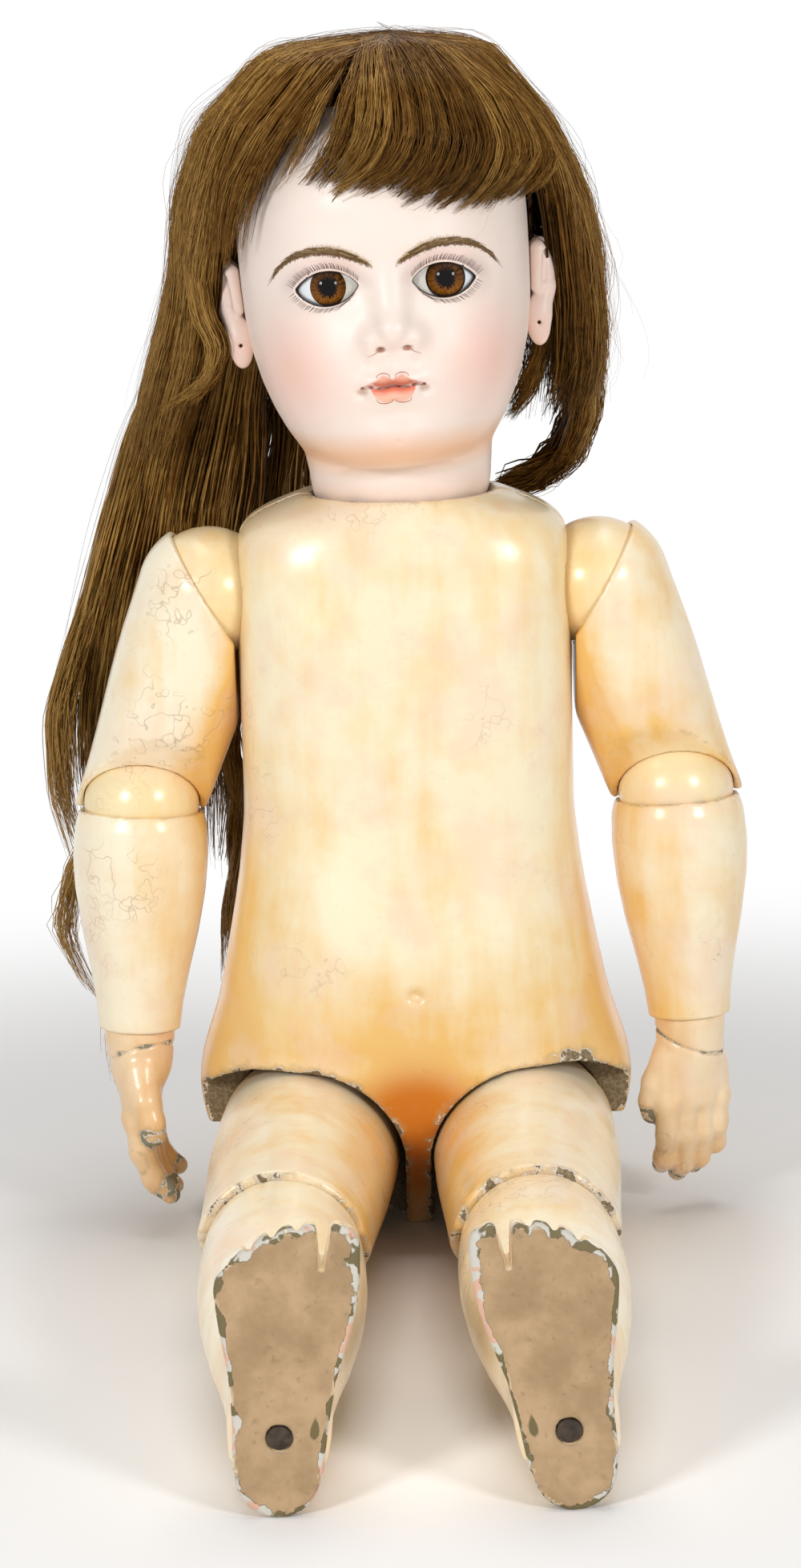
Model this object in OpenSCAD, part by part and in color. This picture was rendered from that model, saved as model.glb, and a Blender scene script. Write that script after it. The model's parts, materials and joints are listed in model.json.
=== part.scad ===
// Seated bisque doll: socket head on a ball-jointed body of painted composition and wood.
// Millimetres, +Z up. The doll faces -Y and sits on z = 0, with its own left side towards +X.
// Sided modules are drawn for the left (+X) side and mirrored for the right.

/* [Torso] */
// Height of the neck rim above the seat
torso_h = 279; // [274:1:284]
// Half width across the chest
chest_w = 62; // [60:0.5:62.5]
// Half width across the hips
hip_w = 82; // [80:0.5:83]
// Depth of the chest in front of the body's axis
chest_front = 45; // [44:0.5:50]
// Depth of the belly in front of the body's axis
belly_front = 58; // [54:1:62]
// Depth of the back behind the body's axis
back_depth = 41; // [40:0.5:44]
// Thickness of the composition shells
torso_wall = 5; // [4:0.5:6]
// Place of the seam between the front and back shells
seam_y = -4; // [-6:0.5:-2]

/* [Head] */
// Half width of the face at the cheeks
head_w = 53; // [51:0.5:54]
// Depth of the face in front of the neck's axis
face_front = 57; // [54:1:60]
// Depth of the back of the head
head_back = 64; // [61:1:66]
// Height from under the chin to the bare crown
head_h = 144; // [140:1:148]
// Lean of the head to the doll's right, in degrees
head_lean = 3; // [0:0.5:4]
// Thickness of the bisque
bisque = 4; // [3:0.5:4.5]
// Radius of the rounded base of the neck
neck_r = 33.4; // [32.6:0.2:34]
// Height of the neck ball's centre above the neck rim
neck_rise = 9; // [8:0.5:10]
// Radius of the glass eyes
eye_r = 12.5; // [11.5:0.5:13]
// Distance of each eye from the middle of the face
eye_x = 21.3; // [20:0.5:22.5]
// Radius of the hole in each ear lobe
ear_hole_r = 0.9; // [0.6:0.1:1.2]

/* [Wig] */
// Half width of the wig at the ears
wig_w = 81; // [78:1:84]
// Depth of the wig behind the neck's axis
wig_back = 77; // [74:1:80]
// Thickness of the hair over the crown
wig_rise = 9; // [7:1:12]
// Length of the right lock below the wig's edge
right_lock_l = 270; // [220:5:275]
// Length of the back hair below the wig's edge
back_lock_l = 205; // [150:5:240]
// Length of the left lock below the wig's edge
left_lock_l = 62; // [50:2:80]

/* [Arms] */
// Radius of the shoulder balls
shoulder_r = 24; // [22:0.5:25]
// Distance of the shoulder balls from the middle
shoulder_x = 72; // [70:0.5:74]
// Drop of the shoulder balls below the neck rim
shoulder_drop = 36; // [34:1:41]
// Length of the upper arm from ball to ball
upper_arm_l = 84; // [80:1:90]
// Splay of the upper arm, in degrees
arm_splay = 19.5; // [18:0.5:22]
// Radius of the elbow balls
elbow_r = 21.5; // [20:0.5:22]
// Length of the forearm from elbow to wrist
forearm_l = 88; // [84:1:92]
// Radius of the rounded top of the hand
wrist_r = 13.2; // [12:0.2:13.6]
// Length of the hand below the wrist
hand_l = 65; // [58:1:68]

/* [Legs] */
// Radius of the hip balls
hip_r = 33; // [31:0.5:33.5]
// Distance of each hip joint in from the half width across the hips
hip_inset = 42; // [40:0.5:42.5]
// Place of the hip balls in front of the body's axis
hip_y = -12; // [-14:0.5:-10]
// Length of the thigh from hip to knee
thigh_l = 128; // [120:1:136]
// Radius of the knee balls
knee_r = 26; // [24:0.5:26.5]
// Length of the lower leg from knee to sole
shin_l = 160; // [150:1:170]
// Length of the foot
foot_l = 92; // [86:1:98]
// Radius of the metal plug in each heel
plug_r = 3.9; // [3:0.1:5]
// Depth of the metal plug in each heel
plug_l = 9; // [6:1:12]
// Outward splay of the right and left thigh, in degrees
thigh_splay = [3.5, 0];
// Outward splay of the right and left lower leg, in degrees
shin_splay = [-1, 1];
// Inward roll of the right and left foot, in degrees
foot_roll = [4, 7];

/* [Stringing and fits] */
// Radius of the elastic cord
cord_r = 3.5; // [2.5:0.5:4]
// Running gap between a ball and its socket
gap = 0.4; // [0.3:0.1:0.6]
// Gap between pieces that are glued or seated
seat_gap = 0.1; // [0.05:0.05:0.2]
// Diameter of the wooden crossbar
crossbar_d = 9; // [7:1:10]
// Wire radius of the neck hook
hook_wire = 2; // [1.5:0.25:2.25]
// Wire radius of the neck spring
spring_wire = 1.2; // [0.9:0.1:1.5]

/* [Hidden] */
$fn = 64;
RIGHT = 0;
LEFT = 1;

// Colours of the finishes
paint = "#e8c98a";
bisque_white = "#f6dfd2";
wood = "#b98a55";
plaster = "#e6e2d8";
cork = "#a97c50";
glass_white = "#f4f2ee";
glass_brown = "#4a2a12";
hair = "#5a3f1f";
iron = "#4a4744";
elastic = "#d8d2c4";

// Joint centres
neck_at = [0, 0, torso_h + neck_rise];
shoulder_z = torso_h - shoulder_drop;
shoulder_at = [shoulder_x, 0, shoulder_z];
floor_gap = 1.2;
thigh_r = hip_r + 1.4;
hip_x = hip_w - hip_inset;
hip_at = [hip_x, hip_y, thigh_r + floor_gap];
// The thigh starts in front of the elastic that runs up from the hip ball
thigh_top = cord_r + 1.5;
elbow_at = shoulder_at + upper_arm_l * [sin(arm_splay), 0, -cos(arm_splay)];
cord_bore = cord_r + 0.3;
// Room where the elastic bends inside a ball
bend_r = cord_bore + 2;
far = 400;

// Rounded oval outline, wide at the sides, with its own front and back depth
sides = 28;
function power(v, p) = sign(v) * pow(abs(v), p);
function oval(w, front, back, z, square = 2, count = sides) = [
    for (i = [0:count - 1])
        let (a = 360 * i / count, s = sin(a))
        [w * power(cos(a), 2 / square), (s < 0 ? front : back) * power(s, 2 / square), z]
];
function arc(r, from, to, steps, at = [0, 0]) = [
    for (i = [0:steps]) let (a = from + (to - from) * i / steps) at + r * [cos(a), sin(a)]
];
// Turn that aims +Z along a line
function aim(v) = [0, acos(v[2] / norm(v)), atan2(v[1], v[0])];

// Solid through a list of outlines, from the lowest to the highest
module loft(rings) {
    n = len(rings[0]);
    m = len(rings);
    low = [for (j = [0:n - 1]) j];
    high = [for (j = [n - 1:-1:0]) (m - 1) * n + j];
    walls = [
        for (i = [0:m - 2], j = [0:n - 1])
            let (a = i * n + j, b = i * n + (j + 1) % n)
            each [[a, a + n, b + n], [a, b + n, b]]
    ];
    polyhedron([for (r = rings) each r], concat([low], walls, [high]));
}

module sided(side) {
    if (side == RIGHT) mirror([1, 0, 0]) children();
    else children();
}

module both_sides() {
    children();
    mirror([1, 0, 0]) children();
}

// Everything beyond a plane through the local origin, on its +Z side
module beyond() {
    translate([-far, -far, 0]) cube([2 * far, 2 * far, far]);
}

// Torso

// Each row: share of the height, half width, front depth, back depth, squareness
function torso_outline(inset) = let (
    rows = [
        [0, 0.60 * hip_w, 12, 0.95 * back_depth, 2.2],
        [0.03, 0.75 * hip_w, 17, 1.08 * back_depth, 2.2],
        [0.065, 0.87 * hip_w, 25, 1.20 * back_depth, 2.2],
        [0.10, 0.925 * hip_w, 0.62 * belly_front, 1.24 * back_depth, 2.2],
        [0.13, 0.95 * hip_w, 0.81 * belly_front, 1.26 * back_depth, 2.2],
        [0.17, 0.985 * hip_w, 0.94 * belly_front, 1.25 * back_depth, 2.2],
        [0.20, hip_w, 0.98 * belly_front, 1.22 * back_depth, 2.2],
        [0.245, 0.98 * hip_w, 1.00 * belly_front, 1.17 * back_depth, 2.2],
        [0.315, 0.90 * hip_w, 1.00 * belly_front, 1.05 * back_depth, 2.3],
        [0.40, 0.84 * hip_w, 0.97 * belly_front, 0.98 * back_depth, 2.3],
        [0.485, 1.04 * chest_w, 0.90 * belly_front, 0.93 * back_depth, 2.4],
        [0.575, 0.992 * chest_w, 1.04 * chest_front, 0.94 * back_depth, 2.6],
        [0.72, 0.992 * chest_w, 1.00 * chest_front, 0.98 * back_depth, 2.8],
        [0.845, chest_w, 0.98 * chest_front, 1.01 * back_depth, 3.0],
        [0.925, chest_w, 0.93 * chest_front, 0.96 * back_depth, 3.0],
        [0.96, 0.975 * chest_w, 0.88 * chest_front, 0.93 * back_depth, 2.8],
        [0.983, 0.87 * chest_w, 0.85 * chest_front, 0.91 * back_depth, 2.4],
        [0.996, 0.72 * chest_w, 0.82 * chest_front, 0.89 * back_depth, 2.1],
        [1, 0.62 * chest_w, 0.80 * chest_front, 0.88 * back_depth, 2]
    ]
) [for (r = rows) oval(r[1] - inset, r[2] - inset, r[3] - inset, inset + r[0] * (torso_h - 2 * inset), r[4])];

// Space that a thigh sweeps between sitting and standing, and as it splays
room_r = thigh_r + 0.8;
room_side = 12;
splay_room = 15;
room_back = thigh_r * sin(splay_room) - thigh_top + 2 * gap;
module thigh_sweep() {
    half_turn = 16;
    linear_extrude(height = far)
        polygon(concat(
            arc(room_r, 90, 270, half_turn),
            arc(room_r, -90, 90, half_turn, [room_side, 0])
        ));
}

module hip_room() {
    translate(hip_at) {
        sphere(hip_r + gap);
        translate([0, room_back, 0]) rotate([90, 0, 0]) thigh_sweep();
        translate([0, 0, room_back]) mirror([0, 0, 1]) thigh_sweep();
        translate([-room_r, -far, -far]) cube([far, far, far]);
    }
}

socket_wall = 4;
crossbar_z = shoulder_z + cord_r + 0.5 + 2 * hook_wire + gap + crossbar_d / 2;
leg_cord_y = -(cord_r + crossbar_d / 2 + 0.35);
leg_cord_x = 0.65 * hip_x;
leg_line = [leg_cord_x, leg_cord_y, crossbar_z] - hip_at;

module torso_shell() {
    difference() {
        loft(torso_outline(0));
        difference() {
            loft(torso_outline(torso_wall));
            both_sides() {
                translate(shoulder_at) sphere(shoulder_r + gap + socket_wall);
                translate(hip_at) sphere(hip_r + gap + socket_wall);
            }
        }
        both_sides() {
            translate(shoulder_at) sphere(shoulder_r + gap);
            hip_room();
            translate(hip_at) rotate(aim(leg_line)) cylinder(r = cord_bore, h = hip_r + 3 * socket_wall);
        }
        translate([-far / 2, 0, shoulder_z]) rotate([0, 90, 0]) cylinder(r = cord_bore, h = far);
        translate(neck_at) sphere(neck_r + gap);
    }
}

module torso_half(y) {
    color(paint) intersection() {
        torso_shell();
        translate([-far / 2, y, -1]) cube([far, far, far]);
    }
}

module torso_front() torso_half(seam_y - far);
module torso_back() torso_half(seam_y);

// Wooden ring glued under the neck rim, with a rounded seat for the head
ring_h = 8;
module neck_ring() {
    low = torso_h - torso_wall - ring_h;
    color(wood) difference() {
        intersection() {
            translate([0, 0, low]) cylinder(r = neck_r, h = 2 * ring_h);
            loft(torso_outline(torso_wall + seat_gap));
        }
        translate(neck_at) sphere(neck_r + gap);
    }
}

// Dowel across the shoulders that the neck hook and the leg elastics pull on
module crossbar() {
    low = crossbar_z - crossbar_d / 2 - shoulder_z;
    reach = sqrt(pow(shoulder_r + gap + socket_wall, 2) - low * low);
    half = shoulder_x - reach - seat_gap;
    color(wood) translate([-half, 0, crossbar_z]) rotate([0, 90, 0]) cylinder(d = crossbar_d, h = 2 * half);
}

// Iron hook: an eye around the crossbar, and a rod up the neck with a head on top
nut_h = 4;
nut_r = 11;
spring_l = 26;
button_top = neck_at[2] - 14;
spring_low = button_top + gap;
nut_low = spring_low + spring_l + gap;
rod_head_r = 5;
rod_head_h = 3;
module neck_hook() {
    eye = crossbar_d / 2 + gap + hook_wire;
    rod_top = nut_low + nut_h + gap;
    color(iron) {
        translate([0, 0, crossbar_z]) rotate([0, 90, 0]) rotate_extrude() translate([eye, 0]) circle(r = hook_wire);
        translate([0, 0, crossbar_z + eye]) cylinder(r = hook_wire, h = rod_top - crossbar_z - eye);
        translate([0, 0, rod_top]) cylinder(r = rod_head_r, h = rod_head_h);
    }
}

// Wooden plug that the neck's inside rides on
module neck_button() {
    inner = neck_r - bisque - gap;
    flat_low = neck_at[2] - 0.76 * inner;
    color(wood) difference() {
        translate(neck_at) sphere(inner);
        translate([0, 0, button_top]) beyond();
        translate([0, 0, flat_low]) mirror([0, 0, 1]) beyond();
        translate([0, 0, flat_low - 1]) cylinder(r = hook_wire + gap, h = far);
    }
}

module neck_nut() {
    color(iron) translate([0, 0, nut_low]) difference() {
        cylinder(r = nut_r, h = nut_h);
        translate([0, 0, -1]) cylinder(r = hook_wire + gap, h = nut_h + 2);
    }
}

// Coil spring between the button and the nut
spring_r = 7.5;
spring_turns = 5;
module neck_spring() {
    turn_steps = 14;
    wire_sides = 8;
    steps = spring_turns * turn_steps;
    travel = spring_l - 2 * spring_wire;
    rings = [
        for (i = [0:steps])
            let (a = 360 * i / turn_steps, z = spring_low + spring_wire + travel * i / steps)
            [
                for (k = [0:wire_sides - 1])
                    let (b = 360 * k / wire_sides, r = spring_r + spring_wire * cos(b))
                    [r * cos(a), r * sin(a), z - spring_wire * sin(b)]
            ]
    ];
    color(iron) loft([for (i = [len(rings) - 1:-1:0]) rings[i]]);
}

// Elastic from shoulder to shoulder
module arm_elastic() {
    half = shoulder_x - shoulder_r - gap;
    color(elastic) translate([-half, 0, shoulder_z]) rotate([0, 90, 0]) cylinder(r = cord_r, h = 2 * half);
}

// Elastic from each hip ball up past the crossbar
module leg_elastic(side) {
    low = hip_r + gap;
    color(elastic) sided(side) translate(hip_at) rotate(aim(leg_line)) translate([0, 0, low])
        cylinder(r = cord_r, h = norm(leg_line) + crossbar_d / 2 - low);
}

// Head

// Pieces of the head are drawn upright and leaned about the neck ball's centre
module leaned() {
    translate(neck_at) rotate([0, -head_lean, 0]) translate(-neck_at) children();
}

chin_z = torso_h + 14;
function head_z(share) = chin_z + share * head_h;
// Each row: share of the head's height, width, front depth and back depth
head_rows = [
    [0, 0.45, 0.80, 0.34], [0.03, 0.62, 0.90, 0.45], [0.08, 0.745, 0.965, 0.58], [0.14, 0.83, 1.0, 0.70],
    [0.21, 0.90, 1.0, 0.80], [0.29, 0.955, 0.99, 0.88], [0.375, 0.985, 0.965, 0.94], [0.465, 0.995, 0.955, 0.98],
    [0.56, 1, 0.98, 1], [0.655, 1, 0.985, 1], [0.75, 0.955, 0.93, 0.96], [0.83, 0.87, 0.825, 0.875],
    [0.90, 0.735, 0.675, 0.735], [0.955, 0.545, 0.475, 0.545], [0.99, 0.30, 0.25, 0.30], [1, 0.12, 0.10, 0.12]
];
function head_outline(inset) = [
    for (r = head_rows)
        oval(r[1] * head_w - inset, r[2] * face_front - inset, r[3] * head_back - inset,
            chin_z + inset + r[0] * (head_h - 2 * inset), 2.15)
];

// Neck: a ball base that runs into a flaring cone
neck_flare = 8.8;
neck_cut = -23;
neck_top = 26;
module neck(inset) {
    r = neck_r - inset;
    low = asin(neck_cut / r);
    top_r = (r + neck_top * sin(neck_flare)) / cos(neck_flare);
    translate(neck_at) rotate_extrude()
        polygon(concat([[0, neck_cut]], arc(r, low, -neck_flare, 12), [[top_r, neck_top], [0, neck_top]]));
}

eye_at = [eye_x, -0.92 * face_front + eye_r + 2.4, head_z(0.46)];
lid_h = 12;
lid_w = 23;
lid_r = (lid_w * lid_w + lid_h * lid_h) / (4 * lid_h);
module eye_opening() {
    translate(eye_at) intersection_for (s = [-1, 1])
        translate([0, 0, s * (lid_r - lid_h / 2)]) rotate([90, 0, 0]) cylinder(r = lid_r, h = far / 4);
}

// Slanting cut across the crown, closed by the pate
crown_at = [0, 6, head_z(0.88)];
crown_tilt = -18;
module above_crown(lift) {
    translate(crown_at) rotate([crown_tilt, 0, 0]) translate([0, 0, lift]) beyond();
}

module nose() {
    tip_y = -1.09 * face_front;
    hull() {
        translate([0, 0.935 * -face_front, head_z(0.43)]) sphere(2.6, $fn = 20);
        translate([0, tip_y + 4.4, head_z(0.335)]) sphere(4.4, $fn = 20);
        both_sides() translate([5.6, tip_y + 7, head_z(0.31)]) sphere(3.4, $fn = 20);
    }
}

module lips() {
    hull() {
        both_sides() translate([9, -0.97 * face_front, head_z(0.218)]) sphere(1.8, $fn = 16);
        translate([0, -0.995 * face_front, head_z(0.232)]) sphere(2.6, $fn = 16);
        translate([0, -0.99 * face_front, head_z(0.198)]) sphere(2.4, $fn = 16);
    }
}

module head() {
    color(bisque_white) leaned() difference() {
        union() {
            neck(0);
            loft(head_outline(0));
            nose();
            lips();
        }
        neck(bisque);
        translate(neck_at) translate([0, 0, neck_cut - 1]) cylinder(r = 0.5 * neck_r, h = 10);
        loft(head_outline(bisque));
        both_sides() {
            eye_opening();
            translate(eye_at) sphere(eye_r + seat_gap);
            crown_dome(gap);
        }
        above_crown(0);
    }
}

// Applied ear with a pierced lobe
lobe_at = [1.03 * head_w, 0, head_z(0.303)];
module ear(side) {
    color(bisque_white) leaned() sided(side) difference() {
        hull() {
            translate([0.99 * head_w, 2, head_z(0.475)]) sphere(4, $fn = 24);
            translate([1.14 * head_w, 6, head_z(0.45)]) sphere(3.2, $fn = 24);
            translate([1.10 * head_w, 4, head_z(0.37)]) sphere(3.2, $fn = 24);
            translate(lobe_at - [1, 0, 3.2]) sphere(4.4, $fn = 24);
        }
        loft(head_outline(-seat_gap));
        translate(lobe_at - [0, far / 2, 0]) rotate([-90, 0, 0]) cylinder(r = ear_hole_r, h = far);
    }
}

// Blown glass eye and the clear crown over its iris
iris_r = 7;
crown_rise = 1.5;
crown_deep = eye_r + crown_rise - sqrt(eye_r * eye_r - iris_r * iris_r);
crown_r = (iris_r * iris_r + crown_deep * crown_deep) / (2 * crown_deep);
module eye(side) {
    color(glass_white) leaned() sided(side) translate(eye_at) sphere(eye_r);
}

module crown_dome(room) {
    translate(eye_at - [0, eye_r + crown_rise - crown_r, 0]) sphere(crown_r + room);
}

module eye_crown(side) {
    color(glass_brown) leaned() sided(side) difference() {
        crown_dome(0);
        translate(eye_at) sphere(eye_r + seat_gap);
    }
}

// Plaster that holds the eyes against the inside of the face
plaster_r = eye_r + 3;
module eye_plaster() {
    color(plaster) leaned() difference() {
        intersection() {
            loft(head_outline(bisque + seat_gap));
            union() {
                both_sides() translate(eye_at) rotate([90, 0, 0]) cylinder(r = plaster_r, h = far / 4);
                translate(eye_at + [-2 * eye_x, -far / 4, -eye_r / 2]) cube([2 * eye_x, far / 4, eye_r]);
            }
        }
        both_sides() {
            translate(eye_at) sphere(eye_r + seat_gap);
            crown_dome(gap);
        }
        translate([0, eye_at[1] - 4, 0]) rotate([-90, 0, 0]) beyond();
    }
}

// Cork dome that closes the crown
module cork_pate() {
    color(cork) leaned() intersection() {
        loft(head_outline(0));
        above_crown(seat_gap);
    }
}

// Wig: hair over the crown, fringe, sides and nape

// Lower rim of the wig above the torso's neck rim
wig_lift = 21;
wig_low = torso_h + wig_lift;
wig_fit = 0.6;
wig_top = chin_z + head_h + wig_rise;
// Each row: share of the height, width, front depth and back depth
wig_rows = [
    [0, 0.90, 0.50, 0.90], [0.14, 0.96, 0.55, 0.95], [0.28, 0.985, 0.65, 0.98], [0.40, 1, 0.95, 1],
    [0.50, 0.98, 1.09, 1], [0.61, 0.92, 1.13, 0.98], [0.71, 0.83, 1.10, 0.93], [0.80, 0.73, 1.02, 0.84],
    [0.88, 0.58, 0.87, 0.69], [0.94, 0.42, 0.65, 0.50], [0.98, 0.24, 0.38, 0.29], [1, 0.07, 0.10, 0.08]
];
fringe_low = head_z(0.66);
temple_low = head_z(0.55);
part_low = head_z(0.77);
ear_back = 13;
// How far the temples and the parting open in front of the head's axis
temple_front = 12;
part_front = 14;
module face_window() {
    translate([-far / 2, ear_back - far, wig_low - 1]) cube([far, far, temple_low - wig_low + 1]);
    translate([-0.99 * head_w, -temple_front - far, temple_low - 1])
        cube([2 * 0.99 * head_w, far, fringe_low - temple_low + 1]);
    translate([-0.82 * head_w, -part_front - far, fringe_low - 1])
        cube([0.5 * head_w, far, part_low - fringe_low + 1]);
}

module wig_crown() {
    color(hair) leaned() difference() {
        loft([
            for (r = wig_rows)
                oval(r[1] * wig_w, r[2] * face_front, r[3] * wig_back, wig_low + r[0] * (wig_top - wig_low), 2.1)
        ]);
        loft(head_outline(-wig_fit));
        neck(-wig_fit);
        face_window();
    }
}

// Long hair: a flat lock from its depth at the top, through rows of shares
// Each row: share of the length, x, depth added, half width and half depth
lock_w = 22;
lock_d = 9;
module lock(length, depth, rows) {
    color(hair) leaned() loft([
        for (i = [len(rows) - 1:-1:0])
            let (r = rows[i], place = [r[1] * wig_w, depth + r[2] * lock_d, wig_low - gap - r[0] * length])
            [for (p = oval(r[3] * lock_w, r[4] * lock_d, r[4] * lock_d, 0, 2, 16)) p + place]
    ]);
}

lock_y = shoulder_r + 13;
right_lock = [
    [0, -0.815, 0, 0.91, 1], [0.08, -0.963, 0, 1, 1], [0.18, -1.16, 0.22, 1, 0.94], [0.32, -1.358, 0.33, 0.955, 0.89],
    [0.46, -1.444, 0.22, 0.864, 0.83], [0.60, -1.469, 0.11, 0.773, 0.78], [0.74, -1.494, 0, 0.636, 0.67],
    [0.88, -1.444, 0, 0.5, 0.56], [1, -1.407, 0, 0.318, 0.44]
];
left_lock = [
    [0, 0.716, 0, 0.727, 1], [0.22, 0.741, 0.33, 0.727, 1], [0.5, 0.691, 1.11, 0.68, 1],
    [0.8, 0.593, 1.78, 0.59, 0.89], [1, 0.519, 2.22, 0.455, 0.78]
];
back_lock = [
    [0, -0.049, 2.44, 1.545, 1], [0.2, -0.123, 2.11, 1.636, 1], [0.45, -0.222, 1.78, 1.636, 1],
    [0.7, -0.321, 1.67, 1.455, 0.89], [0.9, -0.395, 1.56, 1.09, 0.78], [1, -0.42, 1.56, 0.636, 0.556]
];
module right_hair_length() lock(right_lock_l, lock_y, right_lock);
module left_hair_length() lock(left_lock_l, lock_y, left_lock);
module back_hair_length() lock(back_lock_l, back_depth, back_lock);

// Arms, each drawn along +Z from its joint with the front towards -Y

module at_shoulder() {
    translate(shoulder_at) rotate([0, 180 - arm_splay, 0]) children();
}

forearm_forward = 4;
forearm_out = 2.5;
forearm_line = [
    cos(forearm_forward) * sin(forearm_out), -sin(forearm_forward), -cos(forearm_forward) * cos(forearm_out)
];
wrist_at = elbow_at + forearm_l * forearm_line;
module at_elbow() {
    translate(elbow_at) rotate([forearm_forward, 180 - forearm_out, 0]) children();
}

module shoulder_ball(side) {
    color(paint) sided(side) translate(shoulder_at) difference() {
        sphere(shoulder_r);
        sphere(bend_r);
        rotate([0, -90, 0]) cylinder(r = cord_bore, h = far);
        rotate([0, 180 - arm_splay, 0]) cylinder(r = cord_bore, h = far);
    }
}

// The arm's rim leans outward over the ball, so that the arm can be raised
arm_rim_tilt = 30;
arm_side_x = chest_w + gap + 0.2;
elbow_rim_r = elbow_r + 2.3;
elbow_open = 45;
elbow_lap = 11;
// Gap between the rims of two limb pieces that meet at a joint
rim_gap = 0.8;
module upper_arm(side) {
    top_r = shoulder_r + 1.8;
    color(paint) sided(side) difference() {
        at_shoulder() difference() {
            rotate_extrude() polygon(concat(
                arc(top_r, -90, 0, 14),
                [
                    [top_r - 0.2, 0.3 * upper_arm_l], [elbow_rim_r + 0.6, 0.65 * upper_arm_l],
                    [elbow_rim_r, 0.9 * upper_arm_l], [elbow_rim_r, upper_arm_l + elbow_lap],
                    [0, upper_arm_l + elbow_lap]
                ]
            ));
            sphere(shoulder_r + gap);
            cylinder(r = cord_bore, h = far);
            translate([0, 0, upper_arm_l]) sphere(elbow_r + gap);
        }
        translate(shoulder_at + [0.5, 0, 0]) rotate([0, arm_rim_tilt - 90, 0]) beyond();
        translate([arm_side_x, 0, 0]) rotate([0, -90, 0]) beyond();
        at_elbow() {
            translate([0, 0, forearm_top - rim_gap]) beyond();
            rotate([elbow_open, 0, 0]) beyond();
        }
    }
}

module arm_cord(side) {
    low = shoulder_r + gap;
    color(elastic) sided(side) at_shoulder() translate([0, 0, low])
        cylinder(r = cord_r, h = upper_arm_l - elbow_r - gap - low);
}

module elbow_ball(side) {
    color(paint) sided(side) at_elbow() difference() {
        sphere(elbow_r);
        cylinder(r = cord_bore, h = far);
    }
}

forearm_top = 3;
forearm_end_r = wrist_r + 2;
module forearm(side) {
    end = forearm_l - 2;
    color(paint) sided(side) at_elbow() difference() {
        rotate_extrude() polygon([
            [0, forearm_top], [elbow_rim_r - 0.6, forearm_top], [elbow_rim_r + 0.8, 0.1 * forearm_l],
            [elbow_rim_r + 1.2, 0.22 * forearm_l], [elbow_rim_r + 0.2, 0.38 * forearm_l],
            [0.5 * (elbow_rim_r + forearm_end_r) + 0.8, 0.62 * forearm_l], [forearm_end_r + 0.9, 0.85 * forearm_l],
            [forearm_end_r, end], [0, end]
        ]);
        sphere(elbow_r + seat_gap);
        cylinder(r = cord_bore, h = far);
        translate([0, 0, forearm_l]) sphere(wrist_r + gap);
    }
}

module wrist_cord(side) {
    low = elbow_r + seat_gap;
    color(elastic) sided(side) at_elbow() translate([0, 0, low])
        cylinder(r = cord_r, h = forearm_l - wrist_r - gap - low);
}

// Hand along +Z, thumb towards -Y, palm towards the body; each finger has a base, a knuckle and a tip
hand_turn = [-8, 66];
palm_l = 0.48 * hand_l;
finger_r = 4.2;
// Each finger: its place across the palm in finger radii, and its share of the hand's length
fingers = [[-2.5, 0.94], [-0.81, 1], [0.9, 0.97], [2.45, 0.88]];
module joint_ball(place, share) translate(finger_r * place) sphere(share * finger_r, $fn = 14);

module finger(y, reach) {
    palm = palm_l / finger_r;
    tip = reach * hand_l / finger_r;
    bend = (palm + tip) / 2;
    hull() {
        joint_ball([0.48, 0.9 * y, palm - 1.43], 1.05);
        joint_ball([0.71, y, bend], 0.95);
    }
    hull() {
        joint_ball([0.71, y, bend], 0.95);
        joint_ball([1.55, 0.92 * y, tip - 0.76], 0.76);
    }
}

module thumb() {
    reach = hand_l / finger_r;
    hull() {
        joint_ball([0.48, -2.14, 0.26 * reach], 1.31);
        joint_ball([0.95, -3.2, 0.42 * reach], 1);
    }
    hull() {
        joint_ball([0.95, -3.2, 0.42 * reach], 1);
        joint_ball([1.31, -3.45, 0.56 * reach], 0.86);
    }
}

module hand(side) {
    color(paint) sided(side) at_elbow() translate([0, 0, forearm_l]) rotate([0, 0, hand_turn[side]]) {
        sphere(wrist_r, $fn = 32);
        hull() {
            sphere(wrist_r - 1.2, $fn = 20);
            translate([1, -2 * finger_r, palm_l - 7]) sphere(1.52 * finger_r, $fn = 20);
            translate([1, 2 * finger_r, palm_l - 8]) sphere(1.43 * finger_r, $fn = 20);
        }
        for (f = fingers) finger(f[0], f[1]);
        thumb();
    }
}

// Legs, each drawn along +Z from its joint with the shin towards +Y

module at_hip(side) {
    translate(hip_at) rotate([90, 0, thigh_splay[side]]) children();
}

function knee_at(side) = hip_at + thigh_l * [sin(thigh_splay[side]), -cos(thigh_splay[side]), 0];
module at_knee(side) {
    translate(knee_at(side)) rotate([90, 0, shin_splay[side]]) rotate([0, 0, foot_roll[side]]) children();
}

module hip_ball(side) {
    color(paint) sided(side) translate(hip_at) difference() {
        sphere(hip_r);
        sphere(bend_r);
        rotate(aim(leg_line)) cylinder(r = cord_bore, h = far);
        rotate([90, 0, thigh_splay[side]]) cylinder(r = cord_bore, h = far);
    }
}

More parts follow.
